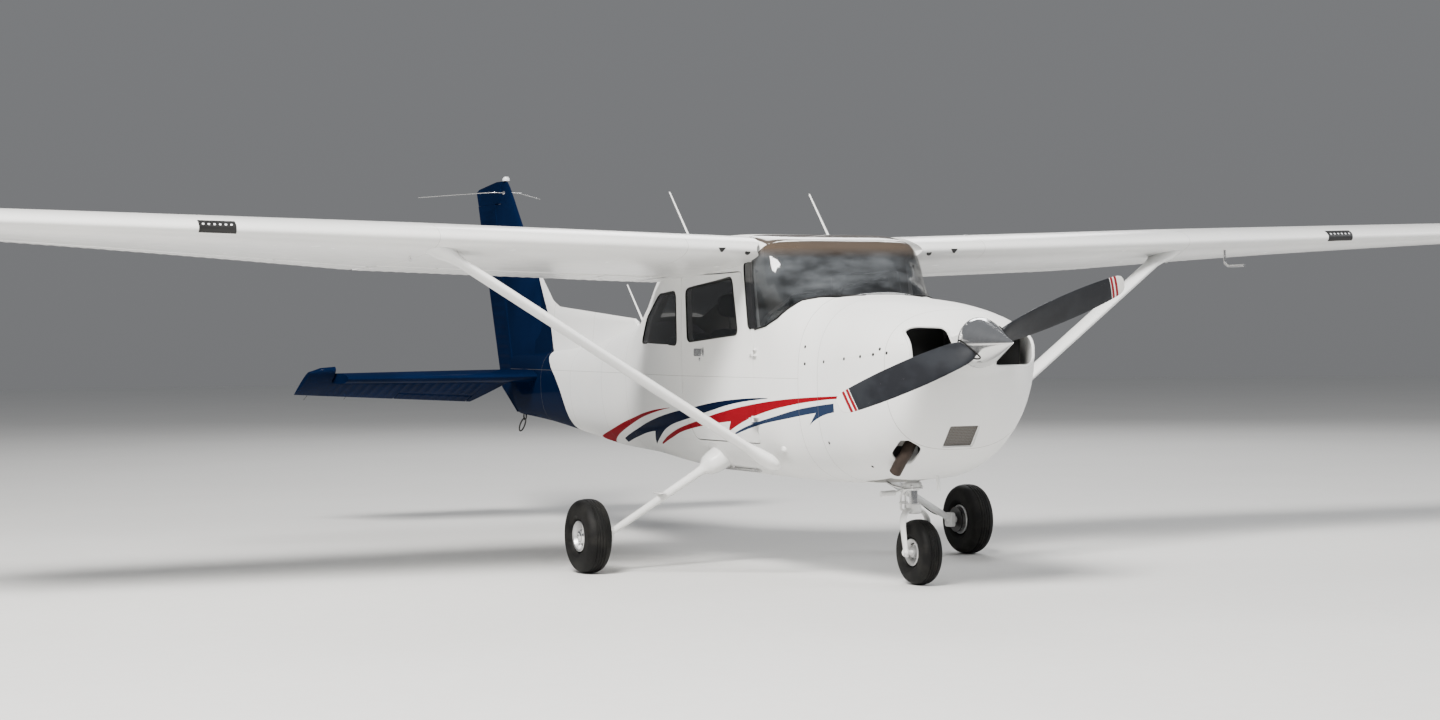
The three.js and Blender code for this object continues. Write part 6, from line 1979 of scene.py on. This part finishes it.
def stage_floor():
    """A round pale floor, its rings spaced as the square of their number."""
    rings = FLOOR["radius"] * (np.linspace(0.01, 1, FLOOR["rings"]) ** 2)
    turn = full_turn(FLOOR["corners"])
    points = rings[:, None, None] * np.stack([np.cos(turn), np.sin(turn), 0 * turn], -1)
    points = points.reshape(-1, 3) + [0, MID_STATION, FLOOR["level"]]
    faces = cells(len(rings), len(turn)).tolist() + [list(range(len(turn)))]
    mesh = bpy.data.meshes.new("floor")
    mesh.from_pydata(to_scene(points).tolist(), [], faces)
    made = linked("floor", mesh)
    finish = Finish("floor_paint")
    stain = finish.noise(0.6, 4) * 0.5 + finish.noise(9, 4) * 0.5
    tone = stain.mix((0.60, 0.595, 0.58, 1), (0.70, 0.695, 0.68, 1))
    finish.wire(Base_Color=tone, Roughness=stain * 0.2 + 0.6)
    mesh.materials.append(finish.bump(stain, 0.002, 0.3).material)


# name, place and aim in metres, size, power, colour
LIGHTS = [
    ("key_light", (-10, -11, 15), (0, 0, 1), 6, 10500, (1, 0.98, 0.95)),
    ("fill_light", (14, -10, 9), (0, 0, 1), 9, 1400, (0.95, 0.97, 1)),
    ("rear_light", (9, 14, 12), (0, 2, 1), 8, 1500, (1, 1, 1)),
]


def soft_light(name, place, aim, size, power, colour):
    """A large square light that points from a place to an aim, in metres."""
    data = bpy.data.lights.new(name, "AREA")
    data.shape, data.size, data.energy, data.color = "SQUARE", size, power, colour
    made = linked(name, data)
    made.rotation_mode = "QUATERNION"
    made.rotation_quaternion = (Vector(aim) - Vector(place)).to_track_quat("-Z", "Y")
    made.location = place


def studio_sky(strength):
    """A pale even sky, a little brighter overhead than at the horizon."""
    world = bpy.data.worlds.new("studio")
    world.use_nodes = True
    tree = world.node_tree
    back = tree.nodes["Background"]
    start = Socket(tree, None)
    place = start.node("TexCoord", output=0)
    height = Socket(tree, start.node("SeparateXYZ", values={0: place}).out.node.outputs[2])
    colour = height.share(-0.1, 0.7).mix((0.66, 0.67, 0.69, 1), (0.92, 0.95, 1.0, 1))
    tree.links.new(colour.out, back.inputs["Color"])
    back.inputs["Strength"].default_value = strength
    bpy.context.scene.world = world


CAMERA = {
    "place": (-7.6657, -16.4354, 1.4653), "yaw": 25.618, "pitch": -0.6378, "roll": -0.5573, "lens": 67.41,
}


def photo_camera():
    """The photograph's camera: yaw turns it from +Y towards +X, then it pitches and rolls."""
    data = bpy.data.cameras.new("photo_camera")
    data.lens, data.sensor_width = CAMERA["lens"], 36
    data.clip_end = 400
    made = linked("photo_camera", data)
    yaw, pitch, roll = (math.radians(CAMERA[key]) for key in ("yaw", "pitch", "roll"))
    ahead = np.array([math.sin(yaw) * math.cos(pitch), math.cos(yaw) * math.cos(pitch), math.sin(pitch)])
    level = np.array([math.cos(yaw), -math.sin(yaw), 0])
    up = np.cross(level, ahead)
    right = math.cos(roll) * level + math.sin(roll) * up
    above = -math.sin(roll) * level + math.cos(roll) * up
    turn = Matrix(np.stack([right, above, -ahead], 1).tolist()).to_4x4()
    made.matrix_world = Matrix.Translation(CAMERA["place"]) @ turn
    bpy.context.scene.camera = made


photo_camera()
stage_floor()
studio_sky(0.27)
for light in LIGHTS:
    soft_light(*light)
